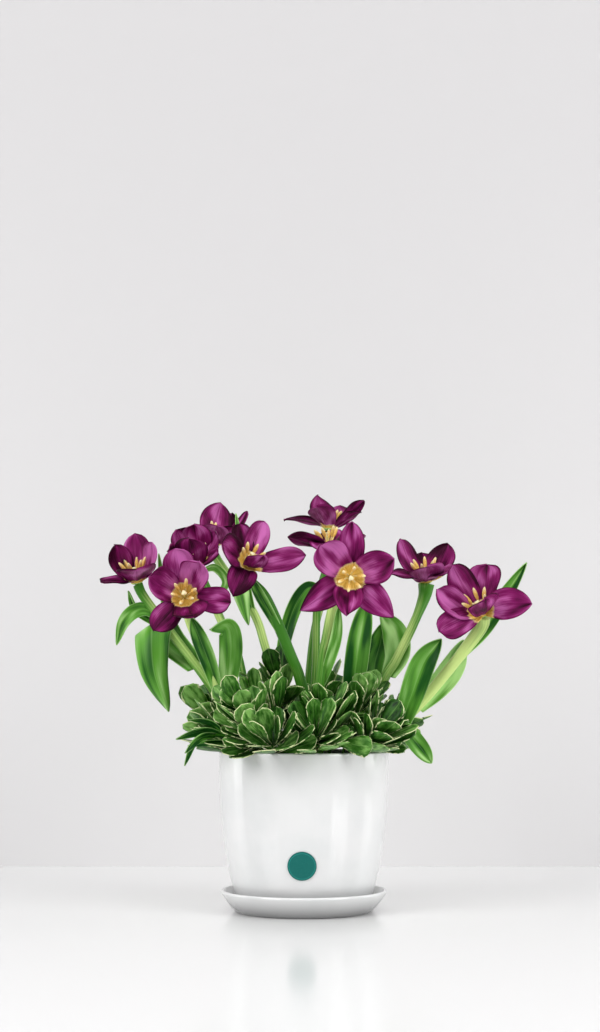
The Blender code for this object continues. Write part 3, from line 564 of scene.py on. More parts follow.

# The leaves on each tulip's stem: the course of each one's middle from inside the stem to its tip,
# its half-width, the way its width lies at its root and at its tip, how far it is folded,
# and how light its green is, from 0 to 1. Leaves are pointed unless they say that they are round-ended.
# A leaf's lightness is partly painted light: some leaves are made lighter or darker to stand for how lit,
# backlit or shaded they are
TULIP_LEAVES = {
    1: (
        Leaf(
            ((-115, 5, 261), (-141, 24, 285), (-156, 20, 303),
             (-161, -4, 296), (-158, -15, 254), (-143, -13, 212)),
            21.5, (0.7, 0.0, 0.7), (0.95, 0.0, -0.3), 0.35, 0.35,
        ),
        Leaf(
            ((-148, 8, 304), (-164, 11, 320), (-180, 11, 320), (-193, 9, 307), (-200, 6, 283)),
            8.5, (0.7, 0.0, 0.7), (-0.95, 0.0, 0.3), 0.2, 0.5,
        ),
        Leaf(
            ((-145, 8, 300), (-165, 18, 310), (-182, 21, 323), (-189, 21, 342)),
            4.5, (0.4, 0.0, 0.9), RIGHT, 0.2, 0.45,
        ),
        Leaf(((-144, 8, 299), (-150, 19, 332), (-156, 20, 382)), 4.0, RIGHT, RIGHT, 0.3, 0.5),
    ),
    2: (
        Leaf(
            ((-89, -37, 230), (-98, -52, 262), (-108, -61, 289), (-116, -65, 310)),
            9.5, (0.9, 0.0, 0.3), (0.9, 0.0, 0.4), 0.35, 0.15,
        ),
        Leaf(
            ((-86, -35, 219), (-79, -38, 250), (-76, -44, 281), (-80, -51, 300), (-97, -60, 297)),
            13.5, RIGHT, (0.55, 0.0, 0.8), 0.2, 0.8,
        ),
    ),
    3: (
        Leaf(
            ((-98, 43, 331), (-85, 52, 353), (-97, 56, 369), (-113, 55, 365)),
            5.0, (0.9, 0.0, -0.4), (-0.3, 0.0, 0.95), 0.2, 0.6,
        ),
    ),
    4: (
        Leaf(
            ((-61, 61, 328), (-68, 66, 347), (-71, 57, 356), (-68, 46, 339), (-60, 40, 306)),
            11.5, RIGHT, (1.0, 0.0, 0.2), 0.2, 0.5,
        ),
        Leaf(((-54, 58, 317), (-63, 47, 357), (-69, 46, 394), (-74, 47, 428)), 4.0, RIGHT, RIGHT, 0.3, 0.5),
        Leaf(
            ((-27, 44, 236), (-22, 45, 284), (-11, 48, 323), (4, 52, 347), (20, 56, 346)),
            9.0, RIGHT, (0.1, 0.0, -1.0), 0.25, 0.1,
        ),
    ),
    5: (
        Leaf(
            ((-19, -33, 285), (-36, -44, 316), (-48, -48, 337), (-56, -48, 352)),
            6.0, RIGHT, RIGHT, 0.35, 0.15,
        ),
    ),
    8: (
        Leaf(((18, -43, 240), (27, -51, 266), (34, -58, 293), (36, -63, 322)), 6.5, RIGHT, RIGHT, 0.35, 0.6),
    ),
    9: (
        Leaf(
            ((67, 9, 198), (54, 4, 230), (57, 4, 272), (63, 6, 308), (69, 6, 334)),
            14.0, RIGHT, RIGHT, 0.2, 0.4,
        ),
        Leaf(((78, 12, 225), (76, 27, 258), (83, 35, 286), (88, 37, 310)), 14.0, RIGHT, RIGHT, 0.25, 0.15),
        Leaf(
            ((91, 15, 250), (101, 26, 273), (98, 31, 298), (83, 27, 319)),
            16.0, RIGHT, (0.8, 0.0, 0.6), 0.15, 0.75,
        ),
    ),
    10: (
        Leaf(
            ((100, -24, 192), (112, -36, 228), (125, -43, 264), (143, -45, 288)),
            15.0, RIGHT, (0.8, 0.0, -0.6), 0.25, 0.2,
        ),
        Leaf(
            ((120, -21, 216), (142, -12, 238), (159, -13, 262), (168, -19, 288)),
            14.5, (0.7, 0.0, -0.7), (0.95, 0.0, -0.3), 0.2, 1.05,
        ),
        Leaf(
            ((159, -29, 266), (188, -10, 296), (211, -8, 331), (236, -12, 370)),
            9.5, (0.8, -0.2, -0.5), (0.85, 0.0, -0.5), 0.3, 0.2,
        ),
        Leaf(
            ((77, -18, 170), (88, -25, 192), (106, -30, 192), (121, -29, 176), (134, -30, 158)),
            9.0, (0.8, 0.0, -0.6), (-0.8, 0.0, -0.6), 0.2, 0.45, ROUND_ENDED,
        ),
    ),
}


def smooth_course(points, count):
    """Points along a smooth curve through the given ones, ends included."""
    known = [Vector(point) for point in points]
    known.insert(0, 2 * known[0] - known[1])
    known.append(2 * known[-1] - known[-2])
    spans = len(known) - 3
    course = []
    for index in range(count):
        place = spans * index / (count - 1)
        span = min(int(place), spans - 1)
        t = place - span
        before, start, end, after = known[span : span + 4]
        straight = 2 * start + (end - before) * t
        curved = (2 * before - 5 * start + 4 * end - after) * t**2
        curved += (3 * start - before - 3 * end + after) * t**3
        course.append(0.5 * (straight + curved))
    return course


def even_steps(count):
    """The shares 0 to 1 of a course, in count equal steps."""
    return [step / count for step in range(count + 1)]


def directions(course):
    """The unit direction of travel at each point of a course."""
    last = len(course) - 1
    return [(course[min(i + 1, last)] - course[max(i - 1, 0)]).normalized() for i in range(last + 1)]


def sheet(name, columns, rows):
    """A flat grid, one unit each way, with its own UV map: the start of a leaf, petal or stalk."""
    grid = bpy.ops.mesh.primitive_grid_add
    return added(name, grid, x_subdivisions=columns, y_subdivisions=rows, size=1.0)


def blade(name, course, sides, half_widths, columns, lift, thickness, surfaces):
    """A thin leaf or petal: a grid laid along a course, then given its thickness.

    lift(across, along) raises a point off the course, with across from -1 to 1 and along from 0 to 1.
    """
    rows = len(course) - 1
    thing = sheet(name, columns, rows)
    headings = directions(course)
    for vertex in thing.data.vertices:
        across = 2 * vertex.co.x
        row = round((vertex.co.y + 0.5) * rows)
        side = (sides[row] - headings[row] * sides[row].dot(headings[row])).normalized()
        face = side.cross(headings[row])
        point = course[row] + side * (across * half_widths[row]) + face * lift(across, row / rows)
        vertex.co = point * MM
    for surface in surfaces:
        thing.data.materials.append(surface)
    thickening = {"thickness": thickness * MM, "offset": 0.0, "material_offset": len(surfaces) - 1}
    harden(thing, "SOLIDIFY", thickening)
    thing.data.shade_smooth()
    return thing


def stalk(name, course, radii, columns, surface, rib=0.0, ribs=0):
    """A round stalk: a grid rolled up along a course and closed at both ends."""
    rows = len(course) - 1
    thing = sheet(name, columns, rows)
    headings = directions(course)
    side = headings[0].orthogonal().normalized()
    frames = []
    for heading in headings:
        side = (side - heading * side.dot(heading)).normalized()
        frames.append((side.copy(), heading.cross(side)))
    for vertex in thing.data.vertices:
        angle = 2 * math.pi * (vertex.co.x + 0.5)
        row = round((vertex.co.y + 0.5) * rows)
        radius = 0.0 if row in (0, rows) else radii[row] * (1 + rib * math.cos(ribs * angle))
        first, second = frames[row]
        point = course[row] + (first * math.cos(angle) + second * math.sin(angle)) * radius
        vertex.co = point * MM
    bpy.ops.object.mode_set(mode="EDIT")
    bpy.ops.mesh.select_all(action="SELECT")
    bpy.ops.mesh.remove_doubles(threshold=0.005 * MM)
    bpy.ops.object.mode_set(mode="OBJECT")
    thing.data.materials.append(surface)
    thing.data.shade_smooth()
    return thing


def tint(thing, tone):
    """Stores how light this one leaf, petal or stalk is, from 0 to 1, for its material; this is partly
    painted light, lighter or darker for how lit or shaded the piece is.
    """
    shade = thing.data.attributes.new("tone", "FLOAT", "POINT")
    shade.data.foreach_set("value", [tone] * len(thing.data.vertices))
    return thing


def join(name, things):
    """One piece from several."""
    bpy.ops.object.select_all(action="DESELECT")
    for thing in things:
        thing.select_set(True)
    bpy.context.view_layer.objects.active = things[0]
    bpy.ops.object.join()
    things[0].name = name
    return things[0]


def surface_place(wire):
    """The across and along values of a piece's own UV map, and its tone."""
    uv = wire.node("ShaderNodeTexCoord", {}, {}, "UV")
    across = wire.node("ShaderNodeSeparateXYZ", {}, {0: uv}, "X")
    tone = wire.node("ShaderNodeAttribute", {"attribute_name": "tone"}, {}, "Fac")
    return across, across.beside("Y"), tone


def streaks(wire, across, along, tone, fine, long, detail=3.0):
    """Noise drawn out along a leaf or petal into streaks, different on each one."""
    place = wire.node("ShaderNodeCombineXYZ", {}, {0: across * fine, 1: along * long, 2: tone * 57.0})
    return place.noise(1.0, detail)


def leaf_finish(name, lightening):
    """A tulip leaf's waxy skin: parallel veins from root to tip, a paler rib and a thin pale edge."""
    constants = {"Specular IOR Level": 0.15, "Coat Weight": 0.05, "Coat Roughness": 0.25}
    surface, shader, wire = new_finish(name, constants)
    across, along, tone = surface_place(wire)
    veins = streaks(wire, across, along, tone, 60.0, 1.5)
    cloud = streaks(wire, across, along, tone, 2.4, 2.2, 1.0)
    glow = tone * 0.85 + (cloud - 0.5) * 2.2 + (veins - 0.5) * 0.4 + lightening
    dark = glow.rises(-0.1, 0.5).blend(LEAF_DARK, LEAF_MID)
    body = glow.rises(0.38, 1.1).blend(dark, LEAF_LIGHT)
    edge = abs(across - 0.5).rises(0.475, 0.498)
    rib = 1 - abs(across - 0.5).rises(0.0, 0.03)
    (edge * 0.5 + rib * 0.15).blend(body, LEAF_LIGHT).feeds(shader, "Base Color")
    (veins * 0.2 + 0.28).feeds(shader, "Roughness")
    (veins + rib * 0.6).relief(0.25).feeds(shader, "Normal")
    return surface


def stem_finish():
    """A tulip stalk's skin: pale with fresher green stripes, darker at its foot, and with painted shade
    under the bloom.
    """
    constants = {"Specular IOR Level": 0.2, "Coat Weight": 0.05, "Coat Roughness": 0.3}
    surface, shader, wire = new_finish("tulip_stem", constants)
    across, along, tone = surface_place(wire)
    stripes = streaks(wire, across, along, tone, 22.0, 2.2)
    shade = streaks(wire, across, along, tone, 1.6, 2.6, 1.0)
    glow = stripes * 1.2 + shade * 1.5 + tone - 1.75 + along.rises(0.1, 0.35) * 0.4
    # Painted shade: the stalk darkens just under the bloom
    glow = glow - along.rises(0.6, 0.95) * 0.35
    glow.rises(0.0, 1.0).blend(STEM_FRESH, STEM_PALE).feeds(shader, "Base Color")
    (stripes * 0.2 + 0.3).feeds(shader, "Roughness")
    stripes.relief(0.3).feeds(shader, "Normal")
    return surface


LEAF_UPPER = leaf_finish("tulip_leaf_upper", 0.0)
LEAF_UNDER = leaf_finish("tulip_leaf_under", 0.16)
STEM_SKIN = stem_finish()
STEM_TONES = {1: 0.2, 2: 0.9, 3: 0.45, 4: 0.8, 5: 0.05, 6: 0.4, 7: 0.3, 8: 0.55, 9: 0.5, 10: 1.0}


def reach_of(petal):
    """From a bloom's heart to a petal's tip."""
    return Vector((petal.right, -petal.towards, petal.up))


def axis_of(bloom):
    """The way a bloom opens: the mean direction of its petals."""
    return sum((reach_of(petal) for petal in bloom.outer + bloom.inner), Vector()).normalized()


def tulip_leaf(name, leaf, draw):
    """One long leaf, folded along its rib, with a slow wave in its edges."""
    course = smooth_course(leaf.path, LEAF_ROWS + 1)
    sides = []
    widths = []
    for t in even_steps(LEAF_ROWS):
        sides.append(Vector(leaf.across_at_root).lerp(Vector(leaf.across_at_tip), t))
        swell = 0.48 + 1.32 * t - 0.65 * t**2
        widths.append(leaf.half_width * swell * (1.0 - t**leaf.end) ** LEAF_TAPER + TIP_HALF_WIDTH)
    phase = draw.uniform(0.0, 6.0)
    wave = LEAF_WAVE * leaf.half_width

    def lift(across, along):
        fold = leaf.fold * leaf.half_width * (abs(across) ** FOLD_POWER - FOLD_DROP)
        ripple = wave * across**2 * math.sin(9.0 * along + phase + 1.3 * across) * math.sin(math.pi * along)
        return fold + ripple

    made = blade(name, course, sides, widths, LEAF_COLUMNS, lift, LEAF_THICKNESS, (LEAF_UPPER, LEAF_UNDER))
    return tint(made, leaf.tone)


def tulip_stem(number, bloom):
    """A stalk from its foot in the soil to just under the bloom, where it flares."""
    axis = axis_of(bloom)
    top = Vector(bloom.heart) - axis * HEART_GAP
    climb = (top - Vector(bloom.stem[-1])).normalized()
    neck = top - climb.lerp(axis, NECK_BEND).normalized() * NECK_LENGTH
    course = smooth_course((*bloom.stem, neck, top), STEM_ROWS + 1)
    radii = []
    for t in even_steps(STEM_ROWS):
        opening = max(0.0, (t - FLARE_START) / (1.0 - FLARE_START)) ** FLARE_POWER
        radii.append(bloom.radius + (bloom.flare - bloom.radius) * opening)
    made = stalk("stalk", course, radii, STEM_COLUMNS, STEM_SKIN, STEM_RIB / bloom.radius, STEM_RIBS)
    return tint(made, STEM_TONES[number])


for number, bloom in BLOOMS.items():
    greens = [tulip_stem(number, bloom)]
    waving = random.Random(100 + number)
    for leaf in TULIP_LEAVES.get(number, ()):
        greens.append(tulip_leaf("leaf", leaf, waving))
    greenery = join(f"tulip_{number}_greenery", greens)
    settle(greenery, "tulip_green", f"tulip_{number}_stem")

# Tulip blooms: three outer and three inner petals on a small fleshy heart, wide open.
# They are silky and thin, streaked in dark and light purple with painted highlights and painted shade, and
# yellow where they join.
PETAL_ROOT_HALF_WIDTH = 3.6
PETAL_ROOT_RADIUS = 4.0
PETAL_THICKNESS = 0.7
PETAL_ROWS = 26
PETAL_COLUMNS = 16
OUTER_PETAL_CUP = 0.14
INNER_PETAL_CUP = 0.30
INNER_PETAL_RISE = 0.6
PETAL_BULGE_OUT = 0.36
OUTER_PETAL_BULGE_UP = 0.20
INNER_PETAL_BULGE_UP = 0.28
PETAL_TURN_LENGTH = 0.4
PETAL_WAVES = (6.0, 9.0)
PETAL_CURL = (-0.05, 0.10)
PETAL_CURL_START = 0.6
PETAL_RIPPLE = 2.4
PETAL_FLUTE = 0.55
PETAL_RIB = 0.7
PETAL_RIB_WIDTH = 0.16
HEART_HALF_SIZES = (6.6, 6.6, 2.6)
HEART_TONE_PLACE = (0.5, 0.02)
# The deep and pink ends of the petals' purple: partly the petals' own colour, partly painted shade and
# painted highlight
PETAL_DEEP_AND_SHADE = (0.030, 0.0003, 0.012, 1.0)
PETAL_PURPLE = (0.200, 0.008, 0.100, 1.0)
PETAL_PINK_AND_HIGHLIGHT = (0.55, 0.135, 0.41, 1.0)
PETAL_YELLOW = (0.93, 0.65, 0.16, 1.0)
PETAL_OCHRE = (0.64, 0.38, 0.06, 1.0)
PETAL_CREAM = (0.86, 0.66, 0.30, 1.0)


def petal_finish(name, yellow_reach, paleness):
    """A petal's silk: streaked purple with broad painted highlights in pink, painted shade along its middle
    and at its edges, darker towards its base partly as painted shade, and yellow at its base.
    """
    constants = {"Specular IOR Level": 0.06, "Coat Weight": 0.02, "Coat Roughness": 0.2}
    surface, shader, wire = new_finish(name, constants)
    across, along, tone = surface_place(wire)
    broad = streaks(wire, across, along, tone, 2.6, 1.8, 1.5)
    veins = streaks(wire, across, along, tone, 70.0, 2.6, 3.0)
    out = abs(across - 0.5) * 2.0
    # Painted shade: darker along the middle fold, at the edges and towards the base; the base darkening is
    # partly a darker ring of the petal's own
    crease_shade = 1 - out.rises(0.0, 0.07)
    edge = out.rises(0.86, 1.0)
    base_ring_and_shade = 1 - along.rises(0.2, 0.5)
    # Painted highlights: the broad streaks lift the purple towards pink like a soft sheen along the petal
    glow = tone * 0.85 + (broad - 0.5) * 2.3 + (veins - 0.5) * 0.85 + paleness
    glow = glow - crease_shade * 0.12 - edge * 0.3 - base_ring_and_shade * 0.2
    purple = glow.rises(-0.15, 0.5).blend(PETAL_DEEP_AND_SHADE, PETAL_PURPLE)
    body = glow.rises(0.35, 1.05).blend(purple, PETAL_PINK_AND_HIGHLIGHT)
    flare = along + (veins - 0.5) * 0.12 + out * 0.05
    creamy = (1 - flare.rises(yellow_reach, yellow_reach + 0.04)).blend(body, PETAL_CREAM)
    ochre = veins.rises(0.35, 0.65).blend(PETAL_OCHRE, PETAL_YELLOW)
    golden = (1 - flare.rises(yellow_reach - 0.04, yellow_reach + 0.01)).blend(creamy, ochre)
    golden.feeds(shader, "Base Color")
    (veins * 0.2 + 0.32).feeds(shader, "Roughness")
    (broad * 1.2 + veins * 0.8).relief(0.65).feeds(shader, "Normal")
    return surface


def petal_shares(blunt):
    """A petal's half-widths as shares of its widest, one for each row from its root to its tip."""
    fullness = 2.0 + 4.2 * blunt
    taper = 1.05 - 0.55 * blunt
    raw = [t**0.55 * (1.0 - t**fullness) ** taper for t in even_steps(PETAL_ROWS)]
    return [share / max(raw) for share in raw]


def bent(root, middle, tip, t):
    """The point at the share t of a simple bend from root to tip, drawn towards its middle."""
    return root * (1 - t) ** 2 + middle * (2 * t * (1 - t)) + tip * t**2


TO_VIEWER = Vector((0.0, -1.0, 0.0))


def lay_petal(petal, heart, axis, inner, surfaces, draw):
    """One petal that rises along the bloom's axis and opens out to its tip."""
    reach = reach_of(petal)
    length = reach.length
    outwards = (reach - axis * reach.dot(axis)).normalized()
    start = heart + outwards * PETAL_ROOT_RADIUS + axis * (INNER_PETAL_RISE * inner)
    rise = INNER_PETAL_BULGE_UP if inner else OUTER_PETAL_BULGE_UP
    bulge = heart + outwards * (PETAL_BULGE_OUT * length) + axis * (rise * length)
    end = heart + reach
    natural = outwards.cross(axis)
    turned_to_viewer = reach.cross(TO_VIEWER).normalized()
    if turned_to_viewer.dot(natural) < 0:
        turned_to_viewer.negate()
    shares = petal_shares(petal.blunt)
    course = []
    widths = []
    sides = []
    for t, share in zip(even_steps(PETAL_ROWS), shares):
        course.append(bent(start, bulge, end, t))
        widths.append(petal.half_width * share + PETAL_ROOT_HALF_WIDTH * (1 - t) ** 3 + TIP_HALF_WIDTH)
        sides.append(natural.lerp(turned_to_viewer, petal.facing * min(1.0, t / PETAL_TURN_LENGTH)))
    cup = INNER_PETAL_CUP if inner else OUTER_PETAL_CUP
    phase = draw.uniform(0.0, 6.0)
    waves = draw.uniform(*PETAL_WAVES)
    curl = draw.uniform(*PETAL_CURL)

    def lift(across, along):
        width = petal.half_width * shares[round(along * PETAL_ROWS)]
        bowl = cup * width * (abs(across) ** FOLD_POWER - FOLD_DROP)
        ripple = PETAL_RIPPLE * abs(across) ** 3 * math.sin(waves * along + phase + 2.0 * across) * along
        flute = PETAL_FLUTE * math.cos(9.0 * across + phase) * math.sin(math.pi * along) ** 0.7
        groove = math.exp(-((across / PETAL_RIB_WIDTH) ** 2)) * math.sin(math.pi * min(1.0, along * 1.1))
        tip_curl = curl * length * max(0.0, along - PETAL_CURL_START) ** 2 * 4.0
        return bowl + ripple + flute - PETAL_RIB * groove + tip_curl * (1.0 - along) * 4.0

    made = blade("petal", course, sides, widths, PETAL_COLUMNS, lift, PETAL_THICKNESS, surfaces)
    return tint(made, petal.tone)


def bloom_heart(heart, axis):
    """The fleshy knob that the petals join at: yellow above and green below."""
    ball = bpy.ops.mesh.primitive_uv_sphere_add
    thing = added("heart", ball, segments=32, ring_count=16, radius=1.0)
    turn = axis.to_track_quat("Z", "Y")
    for vertex in thing.data.vertices:
        place = Vector([half * value for half, value in zip(HEART_HALF_SIZES, vertex.co)])
        vertex.co = (heart + turn @ place) * MM
    for surface in (STEM_SKIN, PETAL_INSIDE):
        thing.data.materials.append(surface)
    for face in thing.data.polygons:
        if (face.center / MM - heart).dot(axis) > 0:
            face.material_index = 1
            for corner in face.loop_indices:
                thing.data.uv_layers.active.data[corner].uv = HEART_TONE_PLACE
    thing.data.shade_smooth()
    return tint(thing, 0.6)


PETAL_INSIDE = petal_finish("petal_inside", 0.26, 0.0)
PETAL_OUTSIDE = petal_finish("petal_outside", 0.13, 0.08)
for number, bloom in BLOOMS.items():
    heart = Vector(bloom.heart)
    axis = axis_of(bloom)
    rippling = random.Random(200 + number)
    petals = []
    for inner, ring in enumerate((bloom.outer, bloom.inner)):
        for petal in ring:
            petals.append(lay_petal(petal, heart, axis, inner, (PETAL_INSIDE, PETAL_OUTSIDE), rippling))
    petals.append(bloom_heart(heart, axis))
    corolla = join(f"tulip_{number}_corolla", petals)
    settle(corolla, "purple_petal", f"tulip_{number}_petals")

# Bloom centres: six stamens with golden anthers round a pale green pistil.
# They stand on the heart, inside the petals' yellow bases.
PISTIL_HEIGHT = 15.0
PISTIL_RADIUS = 1.7
PISTIL_SIDES = 24
STAMEN_COUNT = 6
STAMEN_SIDES = 12
STAMEN_FOOT_RADIUS = 2.3
STAMEN_LENGTH = 22.0
TALL_STAMEN_LENGTH = 26.0
TALL_STAMENED = (1, 9, 10)
STAMEN_LEAN = 0.5
FILAMENT_RADIUS = 1.0
ANTHER_RADIUS = 2.0
ANTHER_START = 0.44
CENTRE_ROWS = 24
CENTRE_GAP = 1.5
FILAMENT_CREAM = (0.84, 0.68, 0.30, 1.0)
ANTHER_GOLD = (0.88, 0.60, 0.17, 1.0)
ANTHER_DEEP = (0.62, 0.33, 0.05, 1.0)
ANTHER_TIP = (0.92, 0.78, 0.42, 1.0)
PISTIL_GREEN = (0.66, 0.62, 0.20, 1.0)
PISTIL_CREAM = (0.90, 0.82, 0.48, 1.0)


def stamen_finish():
    """A creamy filament below a mealy golden anther."""
    surface, shader, wire = new_finish("stamen", {"Specular IOR Level": 0.3})
    along = surface_place(wire)[1]
    grains = wire.node("ShaderNodeTexCoord", {}, {}, "Object").noise(1400.0, 4.0)
    gold = grains.rises(0.3, 0.65).blend(ANTHER_DEEP, ANTHER_GOLD)
    gold = along.rises(0.75, 1.0).blend(gold, ANTHER_TIP)
    anther = along.rises(ANTHER_START - 0.02, ANTHER_START + 0.03)
    anther.blend(FILAMENT_CREAM, gold).feeds(shader, "Base Color")
    (grains * 0.2 + 0.6).feeds(shader, "Roughness")
    grains.relief(0.3).feeds(shader, "Normal")
    return surface


def pistil_finish():
    """The pistil's smooth pale green column and its creamy three-lobed top."""
    surface, shader, wire = new_finish("pistil", {"Subsurface Weight": 0.1, "Subsurface Scale": 0.002})
    across, along, tone = surface_place(wire)
    veil = streaks(wire, across, along, tone, 14.0, 3.0)
    along.rises(0.6, 0.8).blend(PISTIL_GREEN, PISTIL_CREAM).feeds(shader, "Base Color")
    (veil * 0.2 + 0.35).feeds(shader, "Roughness")
    veil.relief(0.2).feeds(shader, "Normal")
    return surface


STAMEN_SKIN = stamen_finish()
PISTIL_SKIN = pistil_finish()


def stamen(foot, lean, bend, length):
    """One stamen: a thin filament that carries a long plump anther."""
    course = []
    radii = []
    for t in even_steps(CENTRE_ROWS):
        course.append(foot + lean * (length * t) + bend * t**2)
        swelling = 0.0
        if t > ANTHER_START:
            swelling = math.sqrt(math.sin(math.pi * (t - ANTHER_START) / (1.0 - ANTHER_START + 0.001)))
        radii.append(max(FILAMENT_RADIUS * (1.0 - 0.5 * t), ANTHER_RADIUS * swelling))
    return tint(stalk("stamen", course, radii, STAMEN_SIDES, STAMEN_SKIN, 0.1, 3), 0.5)


def pistil(foot, axis):
    """The pistil: a three-sided column with a broad three-lobed top."""
    course = []
    radii = []
    for t in even_steps(CENTRE_ROWS):
        course.append(foot + axis * (PISTIL_HEIGHT * t))
        crown = 0.75 * math.exp(-(((t - 0.92) / 0.08) ** 2))
        radii.append(PISTIL_RADIUS * (1.0 - 0.25 * t + crown))
    return tint(stalk("pistil", course, radii, PISTIL_SIDES, PISTIL_SKIN, 0.14, 3), 0.5)


for number, bloom in BLOOMS.items():
    axis = axis_of(bloom)
    seat = Vector(bloom.heart) + axis * CENTRE_GAP
    across = axis.orthogonal().normalized()
    other = axis.cross(across)
    swaying = random.Random(300 + number)
    length = TALL_STAMEN_LENGTH if number in TALL_STAMENED else STAMEN_LENGTH
    parts = [pistil(seat, axis)]
    for index in range(STAMEN_COUNT):
        angle = 2 * math.pi * (index + 0.5) / STAMEN_COUNT
        outwards = across * math.cos(angle) + other * math.sin(angle)
        lean = (axis + outwards * (STAMEN_LEAN + swaying.uniform(-0.06, 0.06))).normalized()
        bend = outwards * swaying.uniform(0.0, 2.0) + outwards.cross(axis) * swaying.uniform(-1.5, 1.5)
        parts.append(stamen(seat + outwards * STAMEN_FOOT_RADIUS, lean, bend, length))
    centre = join(f"tulip_{number}_stamens", parts)
    settle(centre, "yellow_centre", f"tulip_{number}_centre")

# Drooping spray: a thin stalk with narrow dark pointed leaves.
# It grows from the soil at the left and hangs over the pot's rim.
SPRAY_STEM = ((-64, -38, STEM_FOOT_HEIGHT), (-68, -40, 168), (-80, -43, 186), (-97, -48, 189))
SIDE_UP = (0, -0.4, 0.9)
SPRAY_LEAVES = (
    Leaf(((-82, -44, 187), (-104, -52, 192), (-132, -60, 184)), 5.0, SIDE_UP, SIDE_UP, 0.2, 0.05),
    Leaf(((-92, -47, 188), (-107, -60, 185), (-122, -70, 170)), 4.5, SIDE_UP, (-0.5, -0.4, 0.7), 0.2, 0.1),
    Leaf(((-96, -48, 189), (-113, -43, 181), (-124, -47, 156)), 3.5, SIDE_UP, (-0.8, -0.2, 0.4), 0.2, 0.0),
    Leaf(((-76, -42, 180), (-98, -50, 180), (-120, -56, 177)), 3.5, SIDE_UP, SIDE_UP, 0.2, 0.1),
    Leaf(((-78, -43, 184), (-96, -44, 200), (-119, -48, 204)), 3.5, SIDE_UP, SIDE_UP, 0.2, 0.05),
)
THIN_STALK_RADIUS = 1.5
THIN_STALK_SIDES = 10


def thin_stalk(name, course, tone):
    """A thin round stalk, as the spray and the sprigs have."""
    radii = [THIN_STALK_RADIUS] * len(course)
    return tint(stalk(name, course, radii, THIN_STALK_SIDES, STEM_SKIN), tone)


spray = [thin_stalk("spray_stalk", smooth_course(SPRAY_STEM, 17), 0.1)]
for leaf in SPRAY_LEAVES:
    spray.append(tulip_leaf("spray_leaf", leaf, random.Random(400)))
settle(join("spray_of_leaves", spray), "sprig_green", "drooping_spray")

# Sprigs: thin green stalks, each with a rosette of blunt leaves that are broadest near their ends.
# The leaves are mid green with a pale rib and an uneven cream edge, and fill the pot's mouth.
Ring = namedtuple("Ring", "count soil_radius crown_radius crown_height")
SPRIG_RINGS = (Ring(12, 63.0, 87.0, 187.0), Ring(8, 43.0, 60.0, 206.0), Ring(3, 18.0, 26.0, 226.0))
SPRIG_TWIST = 0.22
SPRIG_FOOT_HEIGHT = 138.0
SPRIG_LEAVES = 7
SPRIG_FILLERS = 18
SPRIG_LEAF_LENGTH = (38.0, 50.0)
SPRIG_LEAF_HALF_WIDTH = (9.0, 12.0)
SPRIG_LEAF_THICKNESS = 0.8
SPRIG_WIDEST = 0.78
SPRIG_ROUNDNESS = 2.2
SCALLOP_DEPTH = 0.07
SPRIG_BOAT = 0.14
PATTERN_THICKNESS = 0.08
SPRIG_TRIES = 40
SPRIG_MATCH = 0.8
SPRIG_ROWS = (0.0, 0.3, 0.55, 0.72, 0.84, 0.93, 1.0)
SPRIG_COLUMNS = 4
FILLER_LENGTH = (28.0, 58.0)
FILLER_TILT = (15.0, 80.0)
FILLER_ROOT = (0.0, 0.85)
FILLER_TURN = 1.8
GOLDEN_ANGLE = math.radians(137.5)
# The side shoots at the left and the front: each one's sprig, and its way from the sprig's crown
SIDE_SHOOTS = {
    6: Vector((-14.0, 4.0, 20.0)),
    7: Vector((-14.0, -4.0, 22.0)),
    8: Vector((-12.0, -8.0, 18.0)),
    10: Vector((18.0, 2.0, -8.0)),
}
SHOOT_LEAVES = 12
SPRIG_DARK = (0.002, 0.028, 0.001, 1.0)
SPRIG_MID = (0.036, 0.150, 0.012, 1.0)
SPRIG_PALE = (0.240, 0.490, 0.115, 1.0)
SPRIG_CREAM = (0.72, 0.78, 0.42, 1.0)


def sprig_finish(name, paleness):
    """A sprig leaf's satin skin: mottled green, a pale rib and side veins, an uneven cream edge."""
    constants = {"Specular IOR Level": 0.15, "Coat Weight": 0.06, "Coat Roughness": 0.25}
    surface, shader, wire = new_finish(name, constants)
    across, along, tone = surface_place(wire)
    out = abs(across - 0.5) * 2.0
    mottle = streaks(wire, across, along, tone, 5.0, 4.0, 4.0)
    patches = streaks(wire, across, along, tone, 6.0, 8.0, 2.0)
    speckle = streaks(wire, across, along, tone, 40.0, 30.0, 2.0)
    glow = tone * 0.6 + (mottle - 0.5) * 1.9 + (speckle - 0.5) * 0.2 + along * 0.3 - 0.12 + paleness
    dark = glow.rises(-0.1, 0.45).blend(SPRIG_DARK, SPRIG_MID)
    green = glow.rises(0.35, 1.0).blend(dark, SPRIG_PALE)
    slant = (along - out * 0.22) * 9.0
    side_vein = abs(slant.maths("FRACT", slant, 0.0) - 0.5).rises(0.46, 0.5)
    rib = 1 - out.rises(0.02, 0.10)
    green = (rib * 0.3 + side_vein * 0.08).blend(green, SPRIG_PALE)
    edge = out.maths("MAXIMUM", out, along.rises(0.84, 1.03) * 1.03)
    margin = (edge + (patches - 0.5) * 0.62).rises(0.93, 1.0)
    margin.blend(green, SPRIG_CREAM).feeds(shader, "Base Color")
    (speckle * 0.15 + 0.32).feeds(shader, "Roughness")
    (mottle * 0.6 + rib + side_vein * 0.4).relief(0.35).feeds(shader, "Normal")
    return surface


SPRIG_UPPER = sprig_finish("sprig_leaf_upper", 0.0)
SPRIG_UNDER = sprig_finish("sprig_leaf_under", 0.14)


